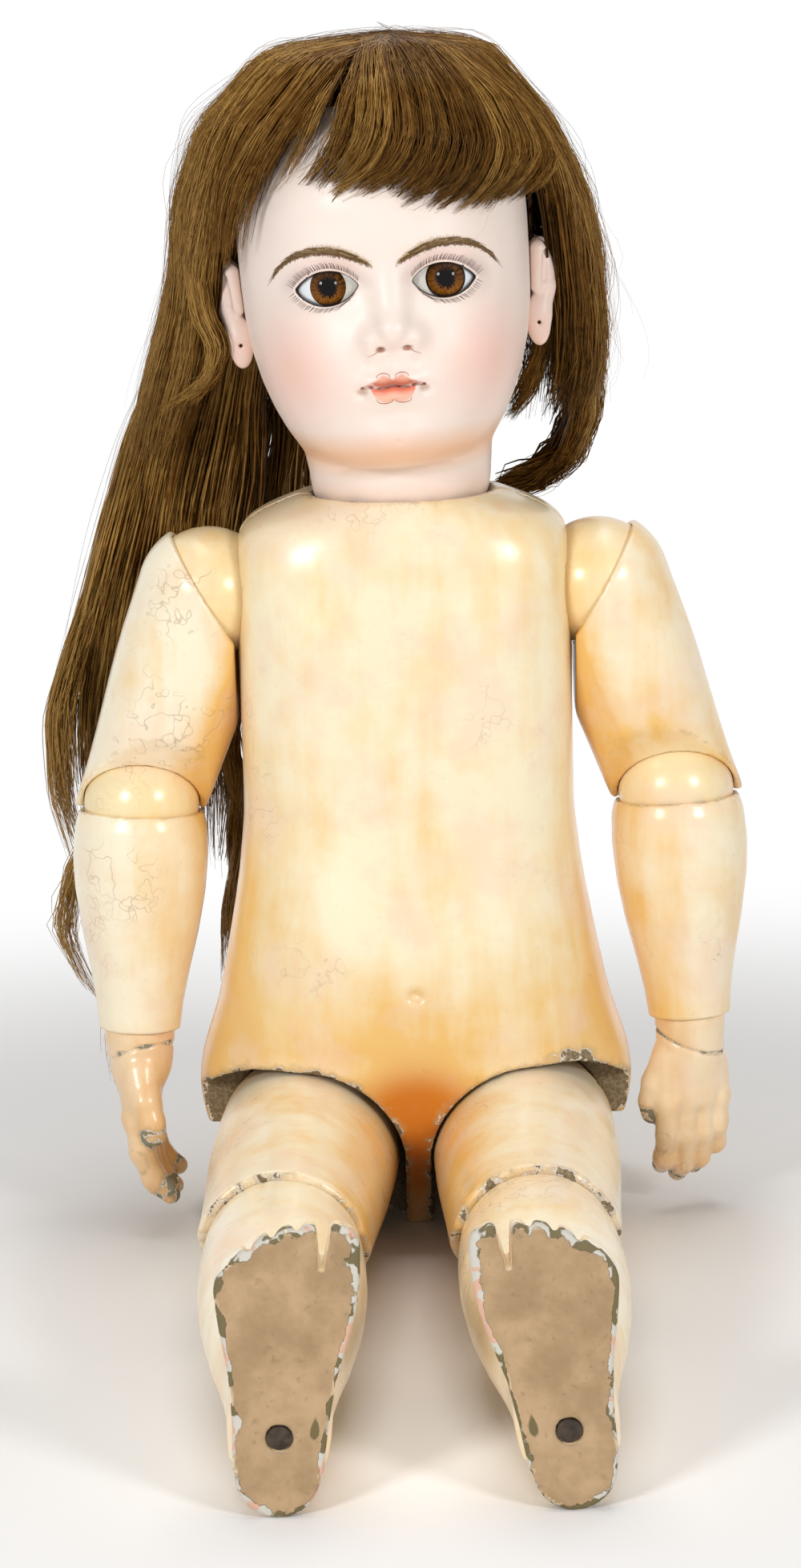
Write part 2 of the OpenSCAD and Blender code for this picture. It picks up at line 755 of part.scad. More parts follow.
knee_rim_r = knee_r + 3.6;
knee_lap = 11;
knee_open = 55;
module thigh(side) {
    end = thigh_l + 1.5 * knee_lap;
    color(paint) sided(side) difference() {
        at_hip(side) difference() {
            rotate_extrude() polygon([
                [0, thigh_top], [thigh_r, thigh_top], [thigh_r, 0.2 * thigh_l], [thigh_r - 1, 0.45 * thigh_l],
                [knee_rim_r + 1.6, 0.75 * thigh_l], [knee_rim_r + 0.4, 0.95 * thigh_l], [knee_rim_r, end], [0, end]
            ]);
            sphere(hip_r + gap);
            cylinder(r = cord_bore, h = far);
            translate([0, 0, thigh_l]) {
                sphere(knee_r + gap);
                rotate([knee_open, 0, 0]) beyond();
            }
        }
        at_knee(side) translate([0, 0, knee_lap]) beyond();
    }
}

module thigh_cord(side) {
    low = hip_r + gap;
    color(elastic) sided(side) at_hip(side) translate([0, 0, low])
        cylinder(r = cord_r, h = thigh_l - knee_r - gap - low);
}

module knee_ball(side) {
    color(paint) sided(side) at_knee(side) sphere(knee_r);
}

// Egg outline of a leg section: centre height, half height, lower and upper half width, squareness, tilt
leg_sides = 24;
function egg(t, c, h, low_w, high_w, square = 2, tilt = 0) = [
    for (i = [0:leg_sides - 1])
        let (
            a = 360 * i / leg_sides,
            s = power(sin(a), 2 / square),
            w = low_w + (high_w - low_w) * (1 + s) / 2
        )
        [w * power(cos(a), 2 / square), c + h * s, t - tilt * (c + h * s + thigh_r)]
];
// The axis lies this high above the floor, so the heel's underside is at minus this height
leg_high = thigh_r + floor_gap;
calf_r = knee_r + 1.6;
foot_c = foot_l / 2 - leg_high;
sole_tilt = 0.12;
heel_w = 14.5;
toe_w = 23;
shin_top = knee_lap + rim_gap;
module lower_leg(side) {
    color(paint) sided(side) at_knee(side) difference() {
        loft([
            egg(shin_top, 0, knee_r + 1.2, knee_r + 1, knee_r + 1),
            egg(0.16 * shin_l, -1.5, calf_r, calf_r, calf_r - 1),
            egg(0.28 * shin_l, -2.5, calf_r, calf_r, calf_r - 1),
            egg(0.42 * shin_l, -4.5, 0.95 * calf_r, 0.96 * calf_r, 0.92 * calf_r),
            egg(0.56 * shin_l, -7.5, 0.82 * calf_r, 0.85 * calf_r, 0.80 * calf_r),
            egg(0.68 * shin_l, -10, 0.75 * calf_r, 0.68 * calf_r, 0.68 * calf_r),
            egg(0.77 * shin_l, -8, 0.94 * calf_r, 0.60 * calf_r, 0.68 * calf_r, 2.1, 0.02),
            egg(0.85 * shin_l, foot_c - 7, 0.40 * foot_l, heel_w + 0.8, 0.84 * toe_w, 2.3, 0.05),
            egg(0.92 * shin_l, foot_c - 1.5, 0.47 * foot_l, heel_w + 1, 0.96 * toe_w, 2.6, 0.09),
            egg(0.975 * shin_l, foot_c, 0.5 * foot_l, heel_w + 0.6, toe_w, 2.8, sole_tilt),
            egg(shin_l, foot_c, 0.49 * foot_l, heel_w, toe_w, 2.8, sole_tilt)
        ]);
        sphere(knee_r + seat_gap);
        heel_plug_place() translate([0, 0, -plug_l - seat_gap]) cylinder(r = plug_r + seat_gap, h = plug_l + 10);
    }
}

// The plug stands square to the sole, a quarter of the foot's length above the heel
plug_up = 0.27 * foot_l - leg_high;
module heel_plug_place() {
    translate([0, plug_up, shin_l - sole_tilt * (plug_up + thigh_r)]) rotate([atan(sole_tilt), 0, 0]) children();
}

module heel_plug(side) {
    sink = 0.5;
    color(iron) sided(side) at_knee(side) heel_plug_place()
        translate([0, 0, -plug_l]) cylinder(r = plug_r, h = plug_l - sink);
}

torso_front();
torso_back();
neck_ring();
crossbar();
neck_hook();
arm_elastic();
leg_elastic(RIGHT);  // right_leg_elastic
leg_elastic(LEFT);  // left_leg_elastic
neck_spring();
neck_button();
neck_nut();
head();
ear(RIGHT);  // right_ear
ear(LEFT);  // left_ear
eye(RIGHT);  // right_eye
eye(LEFT);  // left_eye
eye_crown(RIGHT);  // right_eye_crown
eye_crown(LEFT);  // left_eye_crown
eye_plaster();
cork_pate();
wig_crown();
right_hair_length();
left_hair_length();
back_hair_length();
shoulder_ball(RIGHT);  // right_shoulder_ball
upper_arm(RIGHT);  // right_upper_arm
arm_cord(RIGHT);  // right_arm_cord
elbow_ball(RIGHT);  // right_elbow_ball
forearm(RIGHT);  // right_forearm
wrist_cord(RIGHT);  // right_wrist_cord
hand(RIGHT);  // right_hand
shoulder_ball(LEFT);  // left_shoulder_ball
upper_arm(LEFT);  // left_upper_arm
arm_cord(LEFT);  // left_arm_cord
elbow_ball(LEFT);  // left_elbow_ball
forearm(LEFT);  // left_forearm
wrist_cord(LEFT);  // left_wrist_cord
hand(LEFT);  // left_hand
hip_ball(RIGHT);  // right_hip_ball
thigh(RIGHT);  // right_thigh
thigh_cord(RIGHT);  // right_thigh_cord
knee_ball(RIGHT);  // right_knee_ball
lower_leg(RIGHT);  // right_lower_leg
heel_plug(RIGHT);  // right_heel_plug
hip_ball(LEFT);  // left_hip_ball
thigh(LEFT);  // left_thigh
thigh_cord(LEFT);  // left_thigh_cord
knee_ball(LEFT);  // left_knee_ball
lower_leg(LEFT);  // left_lower_leg
heel_plug(LEFT);  // left_heel_plug
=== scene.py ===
# %% [markdown]
# # A seated bisque doll
# The doll has a matt bisque head with glass eyes, a long brown wig, and a strung body of composition and
# wood under glossy flesh paint that has aged, crazed and chipped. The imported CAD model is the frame: it
# says where every joint and socket is. Each visible piece is modelled here around that frame, in
# millimetres, and stored in metres.

import json
import math

import bpy
import numpy as np
from mathutils import Matrix, Vector


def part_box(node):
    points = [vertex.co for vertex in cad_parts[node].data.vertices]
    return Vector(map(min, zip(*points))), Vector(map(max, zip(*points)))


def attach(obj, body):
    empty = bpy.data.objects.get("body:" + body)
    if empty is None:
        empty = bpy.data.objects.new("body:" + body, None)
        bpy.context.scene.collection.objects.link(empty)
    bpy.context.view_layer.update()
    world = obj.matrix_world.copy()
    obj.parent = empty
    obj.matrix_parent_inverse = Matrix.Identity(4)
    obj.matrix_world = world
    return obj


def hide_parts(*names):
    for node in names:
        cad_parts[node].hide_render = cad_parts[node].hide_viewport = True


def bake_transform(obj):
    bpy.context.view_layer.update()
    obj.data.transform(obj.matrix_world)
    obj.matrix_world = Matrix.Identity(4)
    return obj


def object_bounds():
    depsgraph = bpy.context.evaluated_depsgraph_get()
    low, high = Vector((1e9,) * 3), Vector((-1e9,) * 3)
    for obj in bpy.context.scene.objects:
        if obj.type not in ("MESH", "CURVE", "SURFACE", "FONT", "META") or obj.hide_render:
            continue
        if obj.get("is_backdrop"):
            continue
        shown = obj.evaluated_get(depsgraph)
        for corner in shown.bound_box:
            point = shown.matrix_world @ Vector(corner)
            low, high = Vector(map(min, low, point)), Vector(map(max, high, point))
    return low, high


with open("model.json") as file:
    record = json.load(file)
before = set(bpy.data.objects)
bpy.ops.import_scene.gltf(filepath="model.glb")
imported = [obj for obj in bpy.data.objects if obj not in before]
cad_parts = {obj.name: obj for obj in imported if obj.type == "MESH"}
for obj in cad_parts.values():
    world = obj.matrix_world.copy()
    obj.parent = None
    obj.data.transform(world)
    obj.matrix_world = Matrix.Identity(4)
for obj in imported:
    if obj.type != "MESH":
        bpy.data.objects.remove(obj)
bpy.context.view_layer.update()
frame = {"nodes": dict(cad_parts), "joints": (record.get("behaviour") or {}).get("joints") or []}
MM = 0.001
TINY = 1e-9
JOINTS = {j["name"]: j for j in frame["joints"]}
rng = np.random.default_rng(7)


def joint_at(name):
    """Centre of a joint, in millimetres."""
    return np.array(JOINTS[name]["pos_m"]) / MM


NECK = joint_at("head_turn")
SHOULDER = joint_at("left_shoulder_swing")
ELBOW = joint_at("left_elbow_bend")
WRIST = joint_at("left_wrist_turn")
HIP = joint_at("left_hip_swing")
SIDES = ("right", "left")
SIGNS = {"right": -1, "left": 1}
KNEE = {side: joint_at(side + "_knee_bend") for side in SIDES}

# %% [markdown]
# ## Camera, light and floor
# The photograph was taken from about a metre and a half, a little above the head, with the doll's top
# leaning slightly to the left of the frame. A long lens keeps the soles only a little larger than the
# face. Two soft lamps at the front, one overhead and a pale surround give the even studio light. A curved
# paper backdrop would hide the doll from behind, so the floor is a flat round sheet that keeps the shadow
# near the doll and fades to the white of the surround farther out, the same on every side.

# %% Camera
PHOTO_HEIGHT = 1957
FOCAL_PIXELS = 5000
SENSOR = 36
camera_from = Vector((-3, -1467, 479.6)) * MM
camera_to = Vector((-3, 0, 168)) * MM
camera_roll = math.radians(-1.5)

camera_data = bpy.data.cameras.new("camera")
camera_data.sensor_width = SENSOR
camera_data.lens = FOCAL_PIXELS / PHOTO_HEIGHT * SENSOR
camera = bpy.data.objects.new("camera", camera_data)
camera.location = camera_from
aim = (camera_to - camera_from).to_track_quat("-Z", "Y").to_matrix()
camera.rotation_euler = (aim @ Matrix.Rotation(camera_roll, 3, "Z")).to_euler()
bpy.context.scene.collection.objects.link(camera)
bpy.context.scene.camera = camera
print("lens", round(camera_data.lens, 1), "mm")


# %% Lamps and surround
def soft_lamp(name, place, target, size, watts):
    """A square soft box that faces its target."""
    data = bpy.data.lights.new(name, "AREA")
    data.size = size
    data.energy = watts
    lamp = bpy.data.objects.new(name, data)
    lamp.location = place
    lamp.rotation_euler = (Vector(target) - Vector(place)).to_track_quat("-Z", "Y").to_euler()
    bpy.context.scene.collection.objects.link(lamp)


DOLL_MIDDLE = (0, -0.05, 0.2)
soft_lamp("left_box", (-1.0, -1.45, 0.86), DOLL_MIDDLE, 0.36, 13.4)
soft_lamp("right_box", (1.1, -1.4, 0.84), DOLL_MIDDLE, 0.36, 11.4)
soft_lamp("top_box", (0, 0.15, 1.7), DOLL_MIDDLE, 1.0, 10)
bpy.context.scene.view_settings.view_transform = "Standard"

world = bpy.data.worlds.new("studio")
bpy.context.scene.world = world
world.use_nodes = True
SURROUND = 0.28


def node(tree, kind, place=(0, 0), **values):
    """A new node, with properties and input values set by name."""
    made = tree.nodes.new(kind)
    made.location = place
    for key, value in values.items():
        if hasattr(made, key):
            setattr(made, key, value)
        else:
            made.inputs[key.replace("_", " ")].default_value = value
    return made


def feed(tree, socket, value):
    """Link a socket, or set a plain value."""
    if isinstance(value, bpy.types.NodeSocket):
        tree.links.new(value, socket)
    elif isinstance(value, tuple) and len(value) == 3 and socket.type == "RGBA":
        socket.default_value = value + (1,)
    else:
        socket.default_value = value


def maths(tree, operation, a, b=0.0, clamp=False):
    """Result of a maths node."""
    made = node(tree, "ShaderNodeMath", operation=operation, use_clamp=clamp)
    feed(tree, made.inputs[0], a)
    feed(tree, made.inputs[1], b)
    return made.outputs[0]


def seen_white(tree):
    """1 for rays that show the surround itself: straight, mirrored or through glass."""
    path = node(tree, "ShaderNodeLightPath", (-600, 0)).outputs
    seen = maths(tree, "MAXIMUM", path["Is Camera Ray"], path["Is Glossy Ray"])
    return maths(tree, "MAXIMUM", seen, path["Is Transmission Ray"])


def show_either(tree, share, plain, white, sink_kind):
    """End a tree with a plain and a white shader, mixed by the white one's share."""
    either = node(tree, "ShaderNodeMixShader", (200, 0))
    sink = node(tree, sink_kind, (400, 0))
    for value, socket in zip((share, plain.outputs[0], white.outputs[0]), either.inputs):
        tree.links.new(value, socket)
    tree.links.new(either.outputs[0], sink.inputs[0])


WHITE = (1, 1, 1, 1)
tree = world.node_tree
tree.nodes.clear()
dim = node(tree, "ShaderNodeBackground", (0, 100), Strength=SURROUND, Color=WHITE)
white = node(tree, "ShaderNodeBackground", (0, -100), Strength=1.0, Color=WHITE)
show_either(tree, seen_white(tree), dim, white, "ShaderNodeOutputWorld")
print("surround light", SURROUND)


# %% Pale floor
def ramped(tree, value, low, high, to_low=0.0, to_high=1.0):
    """A value eased from one range to another."""
    made = node(tree, "ShaderNodeMapRange", interpolation_type="SMOOTHSTEP")
    feed(tree, made.inputs["Value"], value)
    for key, number in [("From Min", low), ("From Max", high), ("To Min", to_low), ("To Max", to_high)]:
        made.inputs[key].default_value = number
    return made.outputs[0]


FLOOR_R = 2.6
FLOOR_SIDES = 96
FLOOR_MIDDLE = (0, -0.1, 0)
SHADOW_REACH, WHITE_FROM = 0.30, 0.66
PAPER = (0.93, 0.92, 0.91, 1)
turns = [math.tau * k / FLOOR_SIDES for k in range(FLOOR_SIDES)]
floor_mesh = bpy.data.meshes.new("pale_floor")
floor_mesh.from_pydata(
    [(FLOOR_R * math.cos(a), FLOOR_R * math.sin(a), 0) for a in turns], [], [tuple(range(FLOOR_SIDES))]
)
floor = bpy.data.objects.new("pale_floor", floor_mesh)
bpy.context.scene.collection.objects.link(floor)
floor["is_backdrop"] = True

paper = bpy.data.materials.new("paper")
paper.use_nodes = True
tree = paper.node_tree
tree.nodes.clear()
matt = node(tree, "ShaderNodeBsdfDiffuse", (0, 100), Color=PAPER)
glow = node(tree, "ShaderNodeEmission", (0, -100), Strength=1.0)
place = node(tree, "ShaderNodeNewGeometry", (-800, -300)).outputs["Position"]
far = node(tree, "ShaderNodeVectorMath", (-600, -300), operation="DISTANCE")
feed(tree, far.inputs[0], place)
feed(tree, far.inputs[1], FLOOR_MIDDLE)
rise = ramped(tree, far.outputs["Value"], SHADOW_REACH, WHITE_FROM)
show_either(tree, maths(tree, "MULTIPLY", rise, seen_white(tree)), matt, glow, "ShaderNodeOutputMaterial")
floor.data.materials.append(paper)
print("floor", 2 * FLOOR_R, "m across")

# %% [markdown]
# ## Shapes as distance fields
# A doll's limbs are turned and moulded: round forms that run softly into each other, with balls and
# sockets cut out of them. Boxes with subdivision would need many hand-placed loops to do that. A distance
# field says for any point how far it is outside the piece, so forms are joined with a soft minimum and
# sockets are cut with a soft maximum. The mesh is then grown where the field is zero, and its points are
# slid onto the true surface.


# %% Field tools
def ball(P, centre, radius):
    """Distance to a ball."""
    return np.linalg.norm(P - centre, axis=-1) - radius


def egg(P, centre, radii):
    """Approximate distance to an ellipsoid."""
    q = (P - centre) / radii
    k = np.linalg.norm(q, axis=-1) + TINY
    return k * (k - 1) / (np.linalg.norm(q / radii, axis=-1) + TINY)


def taper(P, a, b, ra, rb):
    """Distance to a rod from a to b with rounded ends of two radii."""
    a, b = np.asarray(a, float), np.asarray(b, float)
    ab = b - a
    h = np.clip((P - a) @ ab / (ab @ ab), 0, 1)
    return np.linalg.norm(P - a - h[..., None] * ab, axis=-1) - (ra + (rb - ra) * h)


def join(a, b, soft):
    """Soft minimum: one form runs into the other."""
    h = np.clip(0.5 + 0.5 * (b - a) / soft, 0, 1)
    return b + (a - b) * h - soft * h * (1 - h)


def cut(a, b, soft):
    """Soft maximum: the second form is taken out of the first."""
    return -join(-a, b, soft)


def swell(P, centre, spread, height):
    """A soft bump, or a dimple where the height is negative."""
    q = (P - np.asarray(centre, float)) / np.asarray(spread, float)
    return height * np.exp(-(q * q).sum(-1))


def smooth_curve(knots, values, fine=240, passes=3):
    """Positions and values of a softened curve through knots, for np.interp."""
    t = np.linspace(knots[0], knots[-1], fine)
    v = np.interp(t, knots, values)
    width = max(3, fine // 40)
    kernel = np.hanning(2 * width + 1)[1:-1]
    kernel /= kernel.sum()
    for _ in range(passes):
        padded = np.pad(v, width, mode="reflect", reflect_type="odd")
        v = np.convolve(padded, kernel, "same")[width:-width]
    return t, v


def lathe(P, profile):
    """Distance to a turned form along +Z, from rows of (place, radius)."""
    t, r = profile
    rho = np.hypot(P[..., 0], P[..., 1])
    slope = np.gradient(r, t)
    lean = np.interp(P[..., 2], t, slope)
    side = (rho - np.interp(P[..., 2], t, r)) / np.sqrt(1 + lean * lean)
    return np.maximum(side, np.maximum(t[0] - P[..., 2], P[..., 2] - t[-1]))


def oval_stack(P, rows):
    """Distance to a stack of ovals: rows of height, half width, front depth, back depth and squareness."""
    rows = np.asarray(rows, float)
    z = P[..., 2]
    w, front, back, square = (np.interp(z, *smooth_curve(rows[:, 0], rows[:, k])) for k in (1, 2, 3, 4))
    deep = np.where(P[..., 1] < 0, front, back)
    s = (np.abs(P[..., 0] / w) ** square + np.abs(P[..., 1] / deep) ** square) ** (1 / square) + TINY
    side = np.hypot(P[..., 0], P[..., 1]) * (1 - 1 / s)
    return np.maximum(side, np.maximum(rows[0, 0] - z, z - rows[-1, 0]))


HASH, HASH_SEED = (374761393, 668265263, 1274126177), 97531
WORD, HALF_WORD = 0xFFFFFFFF, 0xFFFF


def grain(P, scale, seed):
    """Smooth random values from -1 to 1 that vary over the given distance."""
    q = P / scale
    i = np.floor(q).astype(np.int64)
    f = q - i
    f = f * f * (3 - 2 * f)
    total = np.zeros(P.shape[:-1])
    for corner in np.ndindex(2, 2, 2):
        c = i + corner
        h = (sum(c[..., k] * HASH[k] for k in range(3)) + seed * HASH_SEED) & WORD
        h = ((h ^ (h >> 13)) * HASH[2]) & WORD
        value = ((h ^ (h >> 16)) & HALF_WORD) * 2 / HALF_WORD - 1
        weight = np.prod(np.where(np.array(corner), f, 1 - f), axis=-1)
        total += value * weight
    return total


# %% [markdown]
# ## Growing a mesh on a field
# The field is sampled on a grid. Every grid cell that the surface crosses gets one point, and every grid
# edge that it crosses gets one face, so the mesh is closed and made of even quads. A coarse pass first
# finds the cells that can be near the surface, so that the fine grid is worked out only there.


# %% Mesh growing
COARSE_BLOCK, NEAR_BLOCKS = 4, 2.6


def sample(field, low, shape, step):
    """The field on a grid, worked out finely only near the surface."""
    axes = [low[k] + step * np.arange(shape[k]) for k in range(3)]
    block = COARSE_BLOCK
    coarse = [a[::block] for a in axes]
    C = np.stack(np.meshgrid(*coarse, indexing="ij"), -1)
    rough = field(C.reshape(-1, 3)).reshape(C.shape[:3])
    near = np.abs(rough) < step * block * NEAR_BLOCKS
    index = [np.minimum((np.arange(shape[k]) + block // 2) // block, len(coarse[k]) - 1) for k in range(3)]
    # Far from the surface the coarse values are enough
    values = rough[np.ix_(*index)].copy()
    fine = near[np.ix_(*index)]
    P = np.stack([axes[k][w] for k, w in enumerate(np.nonzero(fine))], -1)
    values[fine] = field(P)
    return values


def slope_of(field, V, reach):
    """Field and gradient at points."""
    d = field(V)
    g = np.stack([
        (field(V + reach * axis) - field(V - reach * axis)) / (2 * reach) for axis in np.eye(3)
    ], -1)
    return d, g


def settle(field, V, step):
    """Slide points onto the surface."""
    d, g = slope_of(field, V, 0.1 * step)
    move = d[:, None] * g / np.maximum((g * g).sum(-1, keepdims=True), 0.05)
    far = np.linalg.norm(move, axis=-1, keepdims=True)
    return V - move * np.minimum(1, step / np.maximum(far, TINY))


def grow(field, low, high, step, relax=3):
    """Points and quads of the surface where the field is zero."""
    low, high = np.asarray(low, float) - 2 * step, np.asarray(high, float) + 2 * step
    shape = np.ceil((high - low) / step).astype(int) + 1
    D = sample(field, low, shape, step)
    inside = D < 0
    cells = shape - 1
    total = np.zeros(tuple(cells) + (3,))
    count = np.zeros(tuple(cells))
    # One point in each crossed cell, at the mean of the crossings on its edges
    for axis in range(3):
        others = [k for k in range(3) if k != axis]
        for corner in np.ndindex(2, 2):
            start = np.zeros(3, int)
            start[others] = corner
            one = tuple(slice(start[k], start[k] + cells[k]) for k in range(3))
            ahead = start.copy()
            ahead[axis] += 1
            two = tuple(slice(ahead[k], ahead[k] + cells[k]) for k in range(3))
            crossed = inside[one] != inside[two]
            share = np.where(crossed, D[one] / np.where(crossed, D[one] - D[two], 1), 0)
            count += crossed
            for k in range(3):
                total[..., k] += np.where(crossed, start[k] + (share if k == axis else 0), 0)
    active = count > 0
    number = np.full(tuple(cells), -1)
    number[active] = np.arange(active.sum())
    where = np.stack(np.nonzero(active), -1)
    V = low + step * (where + total[active] / count[active][:, None])
    # One quad across each crossed edge
    quads = []
    for axis in range(3):
        u, v = [(1, 2), (2, 0), (0, 1)][axis]
        first = tuple(slice(1, -1) if k != axis else slice(0, -1) for k in range(3))
        second = tuple(slice(1, -1) if k != axis else slice(1, None) for k in range(3))
        a, b = inside[first], inside[second]
        at = np.stack(np.nonzero(a != b), -1)
        flip = a[tuple(at.T)]
        at[:, u] += 1
        at[:, v] += 1
        ring = []
        for du, dv in [(-1, -1), (0, -1), (0, 0), (-1, 0)]:
            c = at.copy()
            c[:, u] += du
            c[:, v] += dv
            ring.append(number[tuple(c.T)])
        quad = np.stack(ring, -1)
        quads.append(np.where(flip[:, None], quad, quad[:, ::-1]))
    F = np.concatenate(quads)
    V = settle(field, settle(field, V, step), step)
    # The spacing is evened out, and the points slide back each time
    ends = np.concatenate([F[:, [k, (k + 1) % 4]] for k in range(4)])
    for _ in range(relax):
        reach = np.zeros_like(V)
        links = np.zeros(len(V))
        for a, b in [(0, 1), (1, 0)]:
            np.add.at(reach, ends[:, a], V[ends[:, b]])
            np.add.at(links, ends[:, a], 1)
        V = settle(field, V + 0.5 * (reach / links[:, None] - V), step)
    return V, F


# %% Piece making
def mesh_object(name, V, F, marks=None, mirrored=False):
    """An object from points in millimetres, faces, and named values on the points."""
    V = np.asarray(V, float).copy()
    F = np.asarray(F)
    if mirrored:
        V[:, 0] *= -1
        F = F[:, ::-1]
    data = bpy.data.meshes.new(name)
    data.vertices.add(len(V))
    data.vertices.foreach_set("co", (V * MM).astype(np.float32).ravel())
    sides = F.shape[1]
    data.loops.add(F.size)
    data.loops.foreach_set("vertex_index", F.astype(np.int32).ravel())
    data.polygons.add(len(F))
    data.polygons.foreach_set("loop_start", (np.arange(len(F)) * sides).astype(np.int32))
    data.update(calc_edges=True)
    data.validate()
    data.shade_smooth()
    for mark, values in (marks or {}).items():
        layer = data.attributes.new(mark, "FLOAT", "POINT")
        layer.data.foreach_set("value", np.asarray(values, np.float32))
    made = bpy.data.objects.new(name, data)
    bpy.context.scene.collection.objects.link(made)
    return made


def dress(piece, material, body, slot, *nodes):
    """Give a piece its material and body, and hide the CAD nodes it stands for."""
    piece.data.materials.clear()
    piece.data.materials.append(material)
    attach(piece, body)
    if nodes:
        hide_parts(*nodes)
    print(piece.name, len(piece.data.vertices), "points on", body)
    return piece


def fade(distance, reach):
    """1 at a rim, falling to 0 at the given distance from it."""
    return np.clip(1 - np.abs(distance) / reach, 0, 1)


def between(value, start, end):
    """0 up to the start, rising to 1 at the end."""
    return np.clip((value - start) / (end - start), 0, 1)


# %% [markdown]
# ## Aged flesh paint
# The body is composition under several coats of oil paint and varnish. The paint is pale cream where it
# is thin and ochre where the varnish has turned yellow, with pink blotches, fine craze lines, and chips
# along every rim that show white ground and brown composition. One node group makes all of that from noise
# and
# from two values stored on the mesh: how yellow a place is, which on inner sides, undersides and flanks is
# painted shade as well, and how near to a rim. Each material places the group with its own colours.


# %% Shader helpers
def new_tree_material(name):
    """A material with only a Principled shader, and its tree."""
    made = bpy.data.materials.new(name)
    made.use_nodes = True
    tree = made.node_tree
    tree.nodes.clear()
    shader = node(tree, "ShaderNodeBsdfPrincipled", (600, 0))
    sink = node(tree, "ShaderNodeOutputMaterial", (900, 0))
    tree.links.new(shader.outputs[0], sink.inputs[0])
    return made, tree, shader


def blended(tree, share, a, b, kind="MIX"):
    """Two colours mixed by a share."""
    made = node(tree, "ShaderNodeMix", data_type="RGBA", blend_type=kind)
    feed(tree, made.inputs[0], share)
    feed(tree, made.inputs[6], a)
    feed(tree, made.inputs[7], b)
    return made.outputs[2]


def noisy(tree, place, scale, detail=3.0, rough=0.55):
    """Noise looked up at a place."""
    made = node(tree, "ShaderNodeTexNoise", Scale=scale, Detail=detail, Roughness=rough)
    tree.links.new(place, made.inputs["Vector"])
    return made.outputs[0]


def marked(tree, name):
    """A value stored on the mesh."""
    made = node(tree, "ShaderNodeAttribute", attribute_name=name)
    return made.outputs["Fac"]


def own_place(tree, stretch=None):
    """The piece's own coordinates, stretched along each axis if asked."""
    place = node(tree, "ShaderNodeTexCoord").outputs["Object"]
    if stretch is None:
        return place
    made = node(tree, "ShaderNodeMapping")
    made.inputs["Scale"].default_value = stretch
    tree.links.new(place, made.inputs["Vector"])
    return made.outputs[0]


def new_group(name, inputs, outputs):
    """A shader group with named sockets, and its input and output nodes."""
    tree = bpy.data.node_groups.new(name, "ShaderNodeTree")
    for label, kind, value in inputs:
        socket = tree.interface.new_socket(label, in_out="INPUT", socket_type=kind)
        socket.default_value = value + (1,) if kind == "NodeSocketColor" else value
    for label, kind in outputs:
        tree.interface.new_socket(label, in_out="OUTPUT", socket_type=kind)
    given = node(tree, "NodeGroupInput", (-1200, 0)).outputs
    asked = node(tree, "NodeGroupOutput", (1200, 0)).inputs
    return tree, given, asked


def placed(tree, group, **values):
    """A group placed in a material, with its inputs fed by name."""
    made = node(tree, "ShaderNodeGroup")
    made.node_tree = group
    for key, value in values.items():
        feed(tree, made.inputs[key.replace("_", " ")], value)
    return made.outputs


COLOUR, VALUE = "NodeSocketColor", "NodeSocketFloat"

# %% Aged paint group
aged_paint, given, out = new_group(
    "aged paint",
    [
        ("Pale", COLOUR, (0.93, 0.79, 0.54)), ("Ochre", COLOUR, (0.80, 0.47, 0.15)),
        ("Pink", COLOUR, (0.90, 0.66, 0.50)), ("Bare", COLOUR, (0.20, 0.14, 0.075)),
        ("Amber", COLOUR, (0.66, 0.20, 0.008)), ("Yellowed", VALUE, 0.0), ("Rim", VALUE, 0.0),
        ("Chipping", VALUE, 0.0), ("Crazing", VALUE, 0.3),
    ],
    [("Colour", COLOUR), ("Roughness", VALUE), ("Varnish", VALUE), ("Height", VALUE)],
)
t = aged_paint
here = own_place(t)
clouds = noisy(t, here, 22, 4.0, 0.6)
patches = noisy(t, here, 60, 4.0, 0.6)
drips = noisy(t, own_place(t, (70, 70, 9)), 1.0, 3.0, 0.6)
specks = noisy(t, here, 520, 2.0, 0.6)
# The stored yellowing and painted shade, plus yellowing in clouds, drips and patches, with pink blotches
tint = maths(t, "ADD", given["Yellowed"], ramped(t, clouds, 0.35, 0.70, -0.16, 0.34))
tint = maths(t, "ADD", tint, ramped(t, drips, 0.40, 0.70, -0.05, 0.30))
tint = maths(t, "ADD", tint, ramped(t, patches, 0.30, 0.75, -0.10, 0.14), clamp=True)
colour = blended(t, tint, given["Pale"], given["Ochre"])
blush = maths(t, "MULTIPLY", ramped(t, noisy(t, here, 34, 3.0, 0.6), 0.46, 0.66), 0.42)
colour = blended(t, blush, colour, given["Pink"])
colour = blended(t, ramped(t, given["Yellowed"], 0.8, 1.7), colour, given["Amber"])
colour = blended(t, ramped(t, specks, 0.58, 0.80, 0.0, 0.16), colour, (0.62, 0.44, 0.24))
# Craze lines along the edges of warped cells
wander = node(t, "ShaderNodeMix", data_type="VECTOR")
wander.inputs[0].default_value = 0.05
warp = node(t, "ShaderNodeTexNoise", Scale=90.0, Detail=2.0)
t.links.new(here, warp.inputs["Vector"])
t.links.new(here, wander.inputs[4])
t.links.new(warp.outputs["Color"], wander.inputs[5])
cells = node(t, "ShaderNodeTexVoronoi", feature="DISTANCE_TO_EDGE", Scale=46.0)
t.links.new(wander.outputs[1], cells.inputs["Vector"])
crack = ramped(t, cells.outputs["Distance"], 0.004, 0.018, 1.0, 0.0)
crack = maths(t, "MULTIPLY", crack, ramped(t, noisy(t, here, 17, 3.0), 0.56, 0.66))
crack = maths(t, "MULTIPLY", crack, given["Crazing"])
colour = blended(t, crack, colour, (0.34, 0.20, 0.09))
